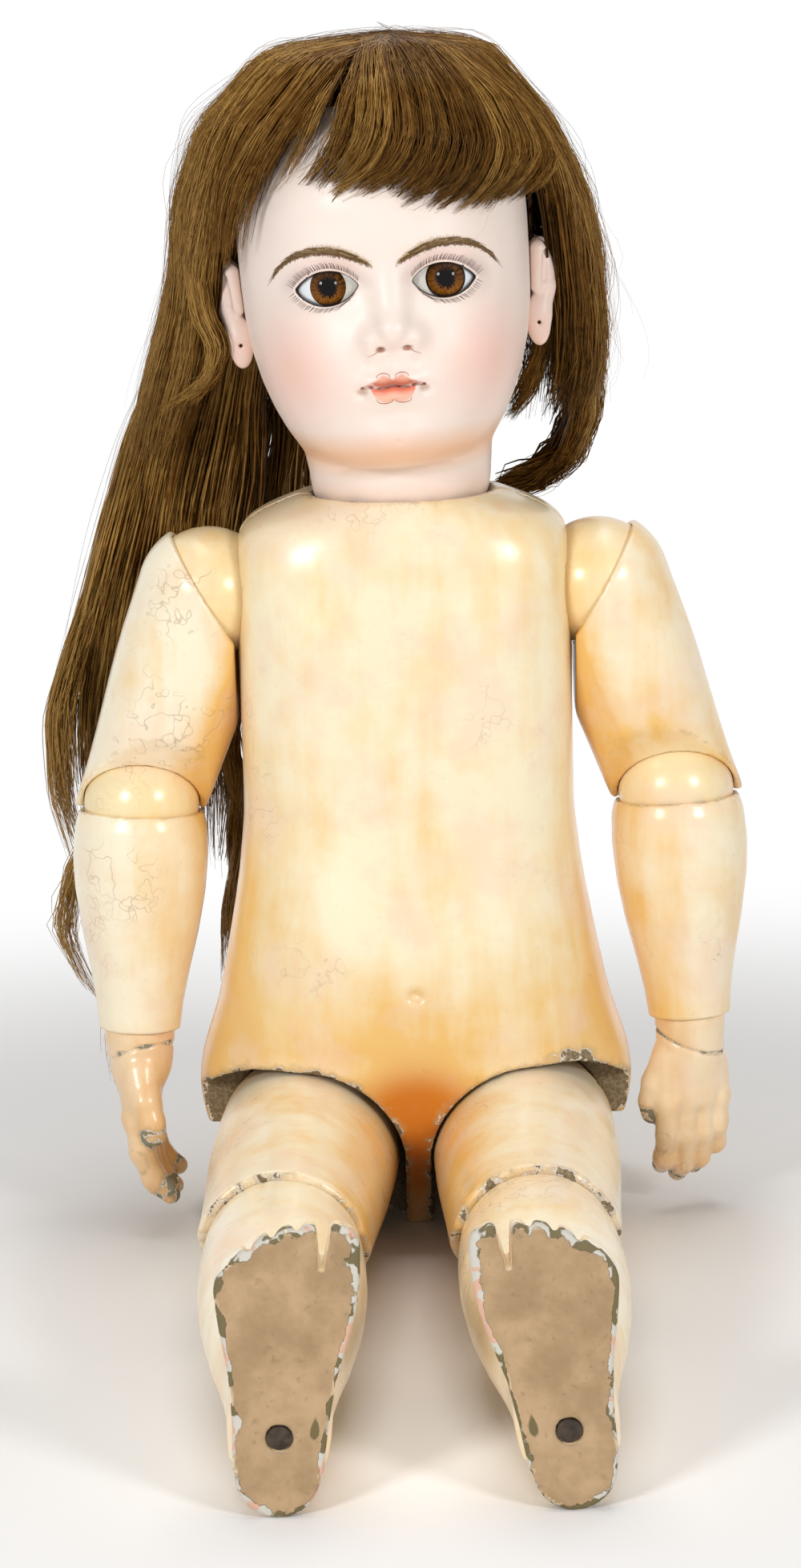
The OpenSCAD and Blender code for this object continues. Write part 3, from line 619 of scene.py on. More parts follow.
# Chips: grime around them, white ground, then bare composition
flake = maths(t, "ADD", maths(t, "MULTIPLY", given["Rim"], 0.62), noisy(t, here, 150, 5.0, 0.62))
flake = maths(t, "ADD", flake, given["Chipping"])
bare = ramped(t, flake, 1.075, 1.095)
ground = maths(t, "SUBTRACT", ramped(t, flake, 1.02, 1.04), bare, clamp=True)
grime = maths(t, "MULTIPLY", ramped(t, flake, 0.80, 1.05), 0.55)
colour = blended(t, grime, colour, (0.55, 0.36, 0.16))
colour = blended(t, ground, colour, (0.78, 0.70, 0.58))
brown = blended(t, ramped(t, noisy(t, here, 700, 2.0), 0.40, 0.65), given["Bare"], (0.31, 0.24, 0.145))
colour = blended(t, bare, colour, brown)
t.links.new(colour, out["Colour"])
# Chips are dull and sunk
gone = maths(t, "MAXIMUM", bare, ground)
rough = maths(t, "ADD", ramped(t, patches, 0.3, 0.7, 0.27, 0.42), maths(t, "MULTIPLY", gone, 0.45))
t.links.new(rough, out["Roughness"])
t.links.new(maths(t, "SUBTRACT", 0.55, maths(t, "MULTIPLY", gone, 0.55)), out["Varnish"])
lift = maths(
    t, "SUBTRACT", maths(t, "MULTIPLY", noisy(t, here, 130, 3.0), 0.16), maths(t, "MULTIPLY", bare, 0.7)
)
lift = maths(t, "SUBTRACT", lift, maths(t, "MULTIPLY", ground, 0.35))
lift = maths(t, "SUBTRACT", lift, maths(t, "MULTIPLY", crack, 0.5))
t.links.new(lift, out["Height"])
print("aged paint group:", len(t.nodes), "nodes")


# %% Painted finishes
PAINT_COAT_ROUGHNESS = 0.22
CHIP_DEPTH = 0.0006


def flesh_paint(name, pale, ochre, chipping=0.0, crazing=0.3, bare=(0.20, 0.14, 0.075)):
    """Glossy aged paint with its own colours and wear."""
    made, tree, shader = new_tree_material(name)
    paint = placed(
        tree, aged_paint, Pale=pale, Ochre=ochre, Bare=bare, Chipping=chipping, Crazing=crazing,
        Yellowed=marked(tree, "yellowing_and_shade"), Rim=marked(tree, "rim"),
    )
    finish_paint(tree, shader, paint["Colour"], paint["Roughness"], paint["Varnish"], paint["Height"])
    return made


def finish_paint(tree, shader, colour, rough, varnish, height):
    """Wire a painted surface into its shader."""
    bump = node(tree, "ShaderNodeBump", (300, -300), Distance=CHIP_DEPTH)
    tree.links.new(height, bump.inputs["Height"])
    tree.links.new(colour, shader.inputs["Base Color"])
    tree.links.new(rough, shader.inputs["Roughness"])
    tree.links.new(varnish, shader.inputs["Coat Weight"])
    tree.links.new(bump.outputs[0], shader.inputs["Normal"])
    shader.inputs["Coat Roughness"].default_value = PAINT_COAT_ROUGHNESS
    shader.inputs["Specular IOR Level"].default_value = 0.4


torso_paint = flesh_paint(
    "torso paint", (0.95, 0.84, 0.59), (0.88, 0.57, 0.19), chipping=-0.03, crazing=0.25
)
limb_paint = flesh_paint("limb paint", (0.955, 0.855, 0.64), (0.88, 0.54, 0.16), chipping=-0.06, crazing=0.4)
ball_paint = flesh_paint("ball paint", (0.95, 0.78, 0.46), (0.90, 0.56, 0.17), chipping=-0.12, crazing=0.5)
hand_paint = flesh_paint(
    "hand paint", (0.92, 0.74, 0.50), (0.80, 0.46, 0.18), chipping=-0.04, crazing=0.3,
    bare=(0.24, 0.24, 0.17),
)

# %% [markdown]
# ## Torso
# The torso is two moulded half shells, with a flat chest, a round belly with a navel, and arches at the
# bottom that the thighs turn in. It is a stack of ovals with soft swellings, cut by the neck's and
# shoulders' balls and by the room that each thigh sweeps. The seam between the halves runs down the
# sides.

# %% Torso field
# Height, half width, front depth, back depth, squareness
TORSO_ROWS = [
    (0, 49, 12, 39, 2.2), (8, 61, 17, 44, 2.2), (18, 71.3, 25, 49, 2.2), (28, 75.8, 36, 51, 2.2),
    (36, 78, 47, 51.7, 2.2), (47, 80.8, 54.5, 51.3, 2.2), (56, 82.2, 57, 50, 2.2), (68, 80.5, 58, 48, 2.2),
    (88, 73.6, 58, 43, 2.3), (112, 68.8, 56.3, 40, 2.3), (135, 64.5, 52, 38, 2.4),
    (160, 61.6, 46.8, 38.5, 2.6), (201, 61.6, 45, 40, 2.8), (236, 62, 44, 41.4, 3), (258, 62, 42, 39.4, 3),
    (268, 60.4, 39.6, 38, 2.8), (274, 54, 38.2, 37.3, 2.4), (278, 44.6, 37, 36.5, 2.1),
    (279, 38.4, 36, 36, 2),
]
SEAM_Y = -4
NECK_SEAT = 33.9
SHOULDER_SEAT = 24.5
HIP_SEAT = 33.4
THIGH_ROOM = 35.2
THIGH_SIDE = 12
ROOM_BACK = 4.7
NAVEL = (0.5, -57.5, 101)


def both(P):
    """Points folded onto the left side."""
    return np.stack([np.abs(P[..., 0]), P[..., 1], P[..., 2]], -1)


def hip_room(P):
    """The ball of a hip and the space that its thigh sweeps."""
    q = both(P) - HIP
    side = q[..., 0] - np.clip(q[..., 0], 0, THIGH_SIDE)
    up, back = np.maximum(q[..., 2], 0), np.maximum(q[..., 1], 0)
    sitting = np.maximum(np.hypot(side, up) - THIGH_ROOM, q[..., 1] - ROOM_BACK)
    standing = np.maximum(np.hypot(side, back) - THIGH_ROOM, q[..., 2] - ROOM_BACK)
    seat = ball(q, 0, HIP_SEAT)
    return np.minimum(seat, np.minimum(sitting, standing))


def torso_skin(P):
    """The torso before its sockets are cut."""
    Q = both(P)
    d = oval_stack(P, TORSO_ROWS)
    d = d - swell(Q, (27, -44, 226), (17, 26, 15), 2.2) + swell(Q, (0, -44, 218), (9, 26, 26), 1.2)
    d = d - swell(P, (0, -58, 118), (34, 30, 26), 1.5) + swell(Q, (34, -50, 76), (26, 14, 5), 1.2)
    d = d - swell(P, NAVEL, (8, 8, 7), 1.0) + swell(P, NAVEL, (2.7, 6, 2.3), 3.6)
    return d + swell(P, (0, 50, 40), (4, 30, 26), 3.5)


def torso_cuts(P):
    """The torso with its neck, shoulder and hip sockets cut."""
    Q = both(P)
    d = cut(torso_skin(P), ball(P, NECK, NECK_SEAT), 1.6)
    d = cut(d, ball(Q, SHOULDER, SHOULDER_SEAT), 1.2)
    return cut(d, hip_room(P), 1.6)


def torso_marks(V):
    """How yellow each point of the torso is, with painted shade on its lower flanks, and how near a rim it
    lies.
    """
    Q = both(V)
    neck, hip, arm = ball(V, NECK, NECK_SEAT), hip_room(V), ball(Q, SHOULDER, SHOULDER_SEAT)
    skin = np.abs(torso_skin(V)) < 2.5
    flaked = swell(V, (58, -48, 66), (20, 30, 16), 1.3) + swell(V, (-66, -42, 60), (15, 30, 14), 1.1)
    broad = flaked * np.clip(1.5 * fade(hip, 13), 0, 1)
    rim = np.maximum(np.maximum(fade(hip, 8), broad), 0.55 * fade(arm, 4)) * skin
    # Inside the hip arches, where the skin is cut away: bare composition, and painted shade in the gap round
    # the thigh
    rim = np.maximum(rim, 1.3 * (hip < 1.5) * ~skin)
    rim = np.maximum(rim, 1.15 * fade(neck, 7) * (V[:, 2] > 268))
    low = between(V[:, 2], 128, 44)
    crotch = swell(V, (0, -46, 45), (24, 46, 30), 1.5)
    # Painted shade on the lower flanks, laid on as more yellowing
    sides = between(np.abs(V[:, 0]), 40, 74)
    flank = sides * between(V[:, 2], 190, 130)
    yellowing_and_shade = 0.02 + 0.9 * low + 0.85 * flank + 0.3 * fade(arm, 18) + 0.15 * fade(neck, 10)
    yellowing_and_shade = np.minimum(yellowing_and_shade, 1) + crotch
    return {"rim": rim, "yellowing_and_shade": yellowing_and_shade}


# %% Torso pieces
TORSO_STEP = 1.7
for name, side in [("torso_front", 1), ("torso_back", -1)]:
    def half(P, side=side):
        """One shell, before or behind the seam."""
        return cut(torso_cuts(P), side * (SEAM_Y - P[..., 1]), 0.5)

    low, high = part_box(name)
    V, F = grow(half, np.array(low) / MM, np.array(high) / MM, TORSO_STEP)
    piece = mesh_object(name + "_skin", V, F, torso_marks(V))
    dress(piece, torso_paint, "torso", "painted_composition", name)

# %% [markdown]
# ## Arms
# Each upper arm is a hollow composition tube: its top is cut to a rim that leans over the shoulder ball,
# and its lower end opens at the front so that the elbow can bend. The forearm carries the elbow ball and
# tapers to a cup for the wrist. They are turned forms along the arm, cut by the balls and by planes.


# %% Limb frames
def limb_frame(start, end):
    """Axes of a limb: across, front to back, and along it from start to end."""
    along = (end - start) / np.linalg.norm(end - start)
    back = np.array([0.0, 1.0, 0.0])
    back -= along * (back @ along)
    back /= np.linalg.norm(back)
    return np.stack([np.cross(back, along), back, along])


def grow_limb(field, start, axes, low, high, step):
    """Grow a field given along a limb, and put its points in place on the left side."""
    V, F = grow(field, low, high, step)
    return V, start + V @ axes, F


ARM_AXES = limb_frame(SHOULDER, ELBOW)
ARM_L = np.linalg.norm(ELBOW - SHOULDER)
FOREARM_AXES = limb_frame(ELBOW, WRIST)
FOREARM_L = np.linalg.norm(WRIST - ELBOW)
SHOULDER_R, ELBOW_R, WRIST_R = 24, 21.5, 13.2
GAP, GLUED_GAP = 0.4, 0.1
ARM_STEP = 1.05
SIDE_TINT = {"right": -0.10, "left": 0.26}

# %% Upper arms
ARM_TOP_R = 26.4
ARM_SIDE_X = 62.7
RIM_LEAN = math.radians(30)
ELBOW_OPEN = math.radians(45)
ARM_LAP = 11
RIM_GAP = 0.8
FOREARM_TOP = 3
ARM_PROFILE = smooth_curve([0, 25, 55, 76, ARM_L + ARM_LAP], [ARM_TOP_R, 25.9, 24.6, 23.8, 23.8])


def arm_planes(P):
    """Distances beyond the leaning rim, the torso's side and the open front of the elbow."""
    world = SHOULDER + P @ ARM_AXES
    q = world - SHOULDER - np.array([0.5, 0, 0])
    rim = -math.cos(RIM_LEAN) * q[..., 0] + math.sin(RIM_LEAN) * q[..., 2]
    side = ARM_SIDE_X - world[..., 0]
    bent = (world - ELBOW) @ FOREARM_AXES.T
    front = -math.sin(ELBOW_OPEN) * bent[..., 1] + math.cos(ELBOW_OPEN) * bent[..., 2]
    return np.maximum(rim, side), np.maximum(front, bent[..., 2] - FOREARM_TOP + RIM_GAP)


def upper_arm_field(P):
    """A turned tube, cut by the balls at its ends and by its rims."""
    tube = lathe(P, ARM_PROFILE)
    d = np.where(P[..., 2] < 0, ball(P, 0, ARM_TOP_R), tube)
    d = d - swell(P, (-16, -4, 34), (16, 22, 24), 1.1)
    rim, front = arm_planes(P)
    d = cut(d, -rim, 1.4)
    d = cut(d, ball(P, 0, SHOULDER_R + GAP), 0.8)
    d = cut(d, -front, 1.5)
    return cut(d, ball(P, (0, 0, ARM_L), ELBOW_R + GAP), 0.8)


low, high = (-28, -28, -28), (28, 28, ARM_L + ARM_LAP)
local, V, F = grow_limb(upper_arm_field, SHOULDER, ARM_AXES, low, high, ARM_STEP)
rim, front = arm_planes(local)
outer = fade(lathe(local, ARM_PROFILE), 2.6)
edge = np.maximum(0.9 * fade(front, 2.6) * outer, 0.35 * fade(rim, 3))
# The inner side, towards the torso, is turned yellower as painted shade
inner = between(local[:, 0], 4, 18)
yellowing_and_shade = 0.02 + 0.2 * fade(front, 14) + 1.3 * inner**1.5
chipped = 1.2 * fade(front, 5) * outer * swell(V, (116, -18, 168), (12, 22, 14), 1.0)
for side in SIDES:
    worn = np.maximum(edge, chipped) if side == "left" else edge
    marks = {"rim": worn, "yellowing_and_shade": np.minimum(yellowing_and_shade + SIDE_TINT[side], 1)}
    piece = mesh_object(side + "_upper_arm_skin", V, F, marks, side == "right")
    dress(piece, limb_paint, side + "_upper_arm", "painted_composition", side + "_upper_arm")

# %% Forearms
FOREARM_END = FOREARM_L - 2
FOREARM_PROFILE = smooth_curve(
    [FOREARM_TOP, 8, 19, 33, 48, 64, 76, FOREARM_END], [23.1, 24.6, 25.1, 24.2, 21.9, 18.5, 16.3, 15.3]
)


def forearm_field(P):
    """A turned form with a cup at each end."""
    d = lathe(P, FOREARM_PROFILE) - swell(P, (-18, 0, 24), (12, 18, 16), 0.8)
    d = np.maximum(d, np.maximum(FOREARM_TOP - P[..., 2], P[..., 2] - FOREARM_END))
    d = cut(d, ball(P, 0, ELBOW_R + GLUED_GAP), 0.8)
    return cut(d, ball(P, (0, 0, FOREARM_L), WRIST_R + GAP), 0.6)


local, V, F = grow_limb(forearm_field, ELBOW, FOREARM_AXES, (-26, -26, 0), (26, 26, FOREARM_L), ARM_STEP)
top, end = local[:, 2] - FOREARM_TOP, FOREARM_END - local[:, 2]
edge = np.maximum(0.85 * fade(top, 2.5), 0.8 * fade(end, 2))
# The inner side, towards the torso, is turned yellower as painted shade
inner = between(local[:, 0], 13, 24)
yellowing_and_shade = 0.02 + 0.22 * fade(top, 10) + 0.55 * inner**1.5 + 0.1 * fade(end, 12)
for side in SIDES:
    marks = {"rim": edge, "yellowing_and_shade": yellowing_and_shade + SIDE_TINT[side]}
    piece = mesh_object(side + "_forearm_skin", V, F, marks, side == "right")
    dress(piece, limb_paint, side + "_forearm", "painted_composition", side + "_forearm")

# %% [markdown]
# ## Hands
# The hands are cast in one piece with a round top that turns in the forearm's cup. The fingers lie
# together and curl towards the palm, and the thumb stands a little apart. Each finger is a chain of
# tapered rods joined softly, so that the grooves between the fingers stay. The fingertips are worn to the
# grey-green composition.

# %% Hand field
HAND_TURN = {"right": math.radians(-8), "left": math.radians(66)}
HAND_STEP = 0.85
PALM_END = 31
FAR = 99.0
# Place across the palm, reach, fan of the tip
FINGERS = [(-10.0, 61, 0.3), (-3.3, 65, 0.6), (3.7, 63, 1.0), (10.0, 57, 2.6)]
THUMB = [((2, -8.5, 14), 6.6), ((5, -13, 24), 5.4), ((7.5, -14.2, 31), 4.7), ((9, -13.8, 36), 4.2)]


def finger_chain(y, reach, fan):
    """Centres and radii along one finger."""
    span = reach - PALM_END
    return [
        ((1.0, 0.9 * y, PALM_END - 12), 6.0), ((1.4, y, PALM_END), 5.2),
        ((3.4, y, PALM_END + 0.42 * span), 4.7), ((8.0, y + 0.5 * fan, PALM_END + 0.76 * span), 4.3),
        ((13.0, 0.94 * y + fan, reach - 3.6), 3.6),
    ]


def chain(P, links, soft):
    """Tapered rods joined end to end."""
    d = np.full(P.shape[:-1], FAR)
    for (a, ra), (b, rb) in zip(links, links[1:]):
        d = join(d, taper(P, a, b, ra, rb), soft)
    return d


def wrist_band(P):
    """Distance from the slanting line where the wrist's paint is lost."""
    return np.abs(P[..., 2] - 4 - 0.30 * (P[..., 1] + 13) + 0.35 * P[..., 0]) / 1.1


def hand_field(P):
    """Palm, fingers and thumb in one form."""
    palm = join(ball(P, 0, WRIST_R), egg(P, (0.5, 0, 9), (12.2, 12.6, 14)), 3)
    palm = join(palm, egg(P, (1.2, 0.3, 22), (8.2, 14.6, 15)), 6)
    d = palm
    for finger in FINGERS:
        d = join(d, chain(P, finger_chain(*finger), 2.5), 1.1)
    d = join(d, chain(P, THUMB, 3), 2.2)
    d = d - swell(P, (4, -7, 15), (7, 6, 8), 1.5) + swell(P, (9, 2, 24), (5, 6, 8), 1.6)
    for y, _, _ in FINGERS:
        d = d - swell(P, (-4.4, y, PALM_END), (3, 2.6, 3.4), 0.6)
        d = d + swell(P, (-1.6, y, PALM_END + 12), (3, 3.5, 1.0), 0.25)
    return d + 0.7 * np.exp(-(wrist_band(P) / 0.9) ** 2) * (P[..., 2] > 2)


# %% Hand pieces
low, high = (-16, -22, -14), (22, 20, 66)
local, F = grow(hand_field, low, high, HAND_STEP)
tips = np.full(len(local), FAR)
for links in [finger_chain(*f) for f in FINGERS] + [THUMB]:
    tip, tip_r = links[-1]
    tips = np.minimum(tips, ball(local, tip, tip_r + 0.6) - 1.5 * grain(local, 6, 3))
knuckle = ball(local, (1, -13.6, 46), 4) - 2.5 * grain(local, 5, 9)
band = wrist_band(local) + 1.2 * grain(local, 5, 4)
rim = np.maximum(
    np.maximum(1.1 * fade(tips, 5), 0.9 * fade(knuckle, 4)), 1.1 * fade(band, 2.2) * (local[:, 2] > 1)
)
yellowing_and_shade = 0.22 + 0.25 * between(local[:, 2], 20, 60) + 0.25 * between(local[:, 0], 0, 10)
for side in SIDES:
    turn = np.array(Matrix.Rotation(HAND_TURN[side], 3, "Z"))
    V = WRIST + (local @ turn.T) @ FOREARM_AXES
    piece = mesh_object(side + "_hand_skin", V, F, {"rim": rim, "yellowing_and_shade": yellowing_and_shade}, side == "right")
    dress(piece, hand_paint, side + "_hand", "painted_composition", side + "_hand")

# %% [markdown]
# ## Legs
# A thigh is a wide tube that covers the hip ball at one end and laps over the knee at the other, with its
# underside open so that the knee bends. The lower leg is turned in wood: a round calf, a narrow ankle and
# a flat-soled foot with moulded toes. The soles are unpainted at the rim and dull, because they have been
# stood on.

# %% Leg frames
THIGH_SPLAY = {"right": math.radians(3.5), "left": 0.0}
SHIN_SPLAY = {"right": math.radians(-1), "left": math.radians(1)}
FOOT_ROLL = {"right": math.radians(4), "left": math.radians(7)}
THIGH_L, SHIN_L = 128, 160
HIP_R, KNEE_R, THIGH_R = 33, 26, 34.4
THIGH_TOP, THIGH_END, KNEE_LAP = 5, THIGH_L + 16, 11
KNEE_OPEN = math.radians(55)
LEG_STEP = 1.5


def leg_turn(splay, roll=0.0):
    """From along the leg, with its front up, to the doll's left side."""
    lay = Matrix.Rotation(splay, 3, "Z") @ Matrix.Rotation(math.pi / 2, 3, "X")
    return np.array(lay @ Matrix.Rotation(roll, 3, "Z"))


def left_knee(side):
    """Centre of a side's knee, mirrored onto the left."""
    return KNEE[side] * np.array([SIGNS[side], 1, 1])


# %% Thighs
# How far the chipping reaches from the rim over each knee
RIM_WEAR = {"right": 3.6, "left": 6.0}
THIGH_PROFILE = smooth_curve(
    [THIGH_TOP, 26, 58, 96, 122, THIGH_END], [34.3, 34.4, 33.5, 31.3, 30.1, 29.6]
)
for side in SIDES:
    to_world = leg_turn(THIGH_SPLAY[side])
    knee_way = (to_world.T @ leg_turn(SHIN_SPLAY[side]))[:, 2]

    def knee_planes(P):
        """Distance beyond the open underside and the lap over the knee."""
        q = P - np.array([0, 0, THIGH_L])
        under = -math.sin(KNEE_OPEN) * q[..., 1] + math.cos(KNEE_OPEN) * q[..., 2]
        return np.maximum(under, q @ knee_way - KNEE_LAP)

    def thigh_field(P):
        """A turned tube, cut by the balls at its ends and opened under the knee."""
        d = lathe(P, THIGH_PROFILE) - swell(P, (14, 20, 60), (20, 20, 30), 0.7)
        d = cut(d, ball(P, 0, HIP_R + GAP), 0.8)
        d = cut(d, ball(P, (0, 0, THIGH_L), KNEE_R + GAP), 0.8)
        return cut(d, -knee_planes(P), 1.6)

    local, F = grow(thigh_field, (-36, -36, 0), (36, 36, THIGH_END), LEG_STEP)
    edge = -knee_planes(local) + 1.4 * grain(local, 9, 5)
    top = local[:, 2] - THIGH_TOP
    rim = np.maximum(fade(edge, RIM_WEAR[side]), 0.5 * fade(top, 3))
    # The inner side and the underside are turned yellower as painted shade
    inner = between(local[:, 0], -14, -32)
    under = between(local[:, 1], 0, -34)
    yellowing_and_shade = 0.10 + 0.25 * fade(top, 24) + 0.15 * fade(edge, 14) + 0.75 * inner + 0.3 * under
    V = HIP + local @ to_world.T
    piece = mesh_object(side + "_thigh_skin", V, F, {"rim": rim, "yellowing_and_shade": yellowing_and_shade}, side == "right")
    dress(piece, limb_paint, side + "_thigh", "painted_composition", side + "_thigh")

# %% Lower leg and foot field
SOLE_TILT = 0.12
HEEL_LOW, HEEL_R = -35.6, 13.4
PLUG_UP = -10.76
SHIN_TOP = 11.8
# Place along the leg, middle, half height, half width
SHIN_ROWS = np.array([
    (10, 0, 27.2, 27), (25, -1.5, 28.3, 28.4), (45, -2.6, 28.6, 28.7), (67, -4.6, 26.8, 27.3),
    (90, -7.6, 23.4, 23.6), (109, -10, 20.6, 19.2), (123, -11.5, 20.4, 16.2), (142, -13, 20.5, 14.8),
], float)
FOOT_UP = [-36, -31, -24, -8, 8, 22, 32, 40, 57]
FOOT_INNER = [-12, -13, -14, -15, -17, -20.6, -22.6, -23, -22.4]
FOOT_OUTER = [12, 13, 14, 14.6, 16.6, 20, 22, 22.6, 22]
TOE_ACROSS = [-24, -21, -16, -11, -2, 6, 13, 19, 24]
TOE_REACH = [49, 54.5, 56.4, 56, 55, 52, 47.5, 42, 34]
FOOT_HIGH_AT = [-36, -4, 6, 14, 24, 34, 45, 57]
FOOT_HIGH = [80, 62, 44, 33, 25, 19.5, 15.5, 12]
TOE_SLOT_X, TOE_SLOT_Y = -11, 42
TOE_GROOVES = [-3.0, 4.6, 11.6]


def sole_place(P):
    """How far a point lies beyond the sole."""
    return P[..., 2] - SHIN_L + SOLE_TILT * (P[..., 1] + THIGH_R)


def foot_outline(P):
    """Distance beyond the outline of the sole."""
    x, y = P[..., 0], P[..., 1]
    inner = np.interp(y, *smooth_curve(FOOT_UP, FOOT_INNER)) - x
    outer = x - np.interp(y, *smooth_curve(FOOT_UP, FOOT_OUTER))
    toes = y - np.interp(x, *smooth_curve(TOE_ACROSS, TOE_REACH))
    for groove in [TOE_SLOT_X] + TOE_GROOVES:
        toes = toes + 1.3 * np.exp(-((x - groove) / 1.5) ** 2)
    heel = HEEL_LOW + HEEL_R - np.sqrt(np.maximum(HEEL_R**2 - x * x, 0)) - y
    return cut(cut(cut(inner, -outer, 2), -toes, 3), -heel, 2)


def lower_leg_field(P):
    """Calf, ankle and foot in one form."""
    x, y, along = P[..., 0], P[..., 1], P[..., 2]
    rows = SHIN_ROWS.T
    middle, high, wide = (np.interp(along, *smooth_curve(rows[0], row)) for row in rows[1:])
    up = (y - middle) / high
    s = np.hypot(x / wide, up) + TINY
    leg = np.hypot(x, y - middle) * (1 - 1 / s)
    leg = np.maximum(leg, np.maximum(SHIN_TOP - along, along - SHIN_ROWS[-1, 0]))
    beyond = sole_place(P)
    top = -beyond - np.interp(y, *smooth_curve(FOOT_HIGH_AT, FOOT_HIGH))
    foot = cut(foot_outline(P), -beyond, 1.6)
    foot = cut(foot, -top, 9)
    groove = sum(np.exp(-((x - g) / 1.2) ** 2) for g in TOE_GROOVES)
    foot = foot + 1.7 * groove * between(y, 34, 42) * between(-beyond, 2, 7)
    d = join(leg, foot, 7)
    slot = np.maximum(np.abs(x - TOE_SLOT_X) - 0.7 - 0.13 * np.maximum(y - TOE_SLOT_Y, 0), TOE_SLOT_Y - y)
    d = cut(d, slot, 1.2)
    d = cut(d, np.maximum(np.hypot(x, y - PLUG_UP) - 4.4, -beyond - 2.5), 0.5)
    d = np.maximum(d, HEEL_LOW + 0.3 - y)
    return cut(d, ball(P, 0, KNEE_R + GLUED_GAP), 0.6)


# %% Foot finish
def foot_finish():
    """Limb paint, with a dull tan sole and a worn edge of gesso, pink paint and bare wood."""
    made, tree, shader = new_tree_material("foot paint")
    paint = placed(
        tree, aged_paint, Pale=(0.955, 0.85, 0.63), Ochre=(0.88, 0.54, 0.16), Bare=(0.17, 0.13, 0.06),
        Chipping=-0.06, Crazing=0.35, Yellowed=marked(tree, "yellowing_and_shade"), Rim=marked(tree, "rim"),
    )
    here = own_place(tree)
    # Dull sole
    sole = marked(tree, "sole")
    dull = noisy(tree, here, 45, 4.0, 0.65)
    tan = blended(tree, ramped(tree, dull, 0.32, 0.68), (0.36, 0.235, 0.12), (0.52, 0.355, 0.20))
    scuff = ramped(tree, noisy(tree, here, 420, 3.0), 0.60, 0.72, 0.0, 0.45)
    tan = blended(tree, scuff, tan, (0.27, 0.17, 0.09))
    bare = ramped(tree, marked(tree, "rim"), 0.45, 0.6)
    tan = blended(tree, bare, tan, (0.16, 0.12, 0.05))
    colour = blended(tree, sole, paint["Colour"], tan)
    # Worn edge
    flake = maths(
        tree, "ADD", maths(tree, "MULTIPLY", marked(tree, "worn"), 0.75),
        noisy(tree, here, 170, 5.0, 0.62),
    )
    lost = ramped(tree, flake, 0.96, 1.03)
    kind = noisy(tree, here, 80, 3.0)
    chip = blended(tree, ramped(tree, kind, 0.47, 0.50), (0.17, 0.135, 0.06), (0.62, 0.59, 0.52))
    chip = blended(tree, ramped(tree, kind, 0.575, 0.60), chip, (0.70, 0.43, 0.31))
    colour = blended(tree, lost, colour, chip)
    dry = maths(tree, "MAXIMUM", sole, lost)
    rough = maths(tree, "MAXIMUM", paint["Roughness"], maths(tree, "MULTIPLY", dry, 0.72))
    varnish = maths(tree, "MULTIPLY", paint["Varnish"], maths(tree, "SUBTRACT", 1.0, dry))
    height = maths(tree, "SUBTRACT", paint["Height"], maths(tree, "MULTIPLY", lost, 0.8))
    finish_paint(tree, shader, colour, rough, varnish, height)
    return made


foot_paint = foot_finish()

# %% Lower leg pieces
FOOT_STEP = 1.15
local, F = grow(lower_leg_field, (-31, -36, 8), (31, 58, 162), FOOT_STEP)
beyond, outside = sole_place(local), foot_outline(local)
sole = between(beyond, -1.3, -0.5) * between(-outside, 0.2, 1.0)
ragged = 2.2 * grain(local, 6, 2)
edge = np.maximum(np.abs(outside) * 1.1, -beyond * 0.8) + ragged
toes = between(local[:, 1], 30, 44) + between(local[:, 1], -24, -30)
top = local[:, 2] - SHIN_TOP
heel_patch = np.hypot(local[:, 0] + 11, (local[:, 1] + 6) / 2.4) + 2 * grain(local, 5, 8)
worn = fade(edge, 3.6 + 4.4 * np.clip(toes, 0, 1))
rim = np.maximum(0.7 * fade(top, 2.5), 1.1 * fade(heel_patch, 3.4) * sole)
# The underside of the calf is turned yellower as painted shade
yellowing_and_shade = 0.10 + 0.3 * fade(top, 14) + 0.3 * between(local[:, 1], 0, -30) * (1 - sole)
for side in SIDES:
    V = left_knee(side) + local @ leg_turn(SHIN_SPLAY[side], FOOT_ROLL[side]).T
    marks = {"rim": rim, "yellowing_and_shade": yellowing_and_shade, "sole": sole, "worn": worn}
    piece = mesh_object(side + "_lower_leg_skin", V, F, marks, side == "right")
    dress(piece, foot_paint, side + "_lower_leg", "painted_composition", side + "_lower_leg")

# %% [markdown]
# ## Head
# The head is poured bisque with a full round face, a small nose, a closed mouth and a socket neck. Its
# outline is a stack of ovals. The features are soft bumps and hollows on it, and each eyelid is a thin
# shell around its glass eye, cut open in the shape of an almond. The paint is laid on by values stored on
# the mesh: how far inside a lip or a brow a point lies, how near the eye's opening, and how rosy the
# cheek. A distance stays sharp between mesh points, so the painted edges are crisp.

# %% Head sizes
HEAD_W, FACE_FRONT, HEAD_BACK, HEAD_H = 53, 57, 64, 144
CHIN_Z = NECK[2] + 5
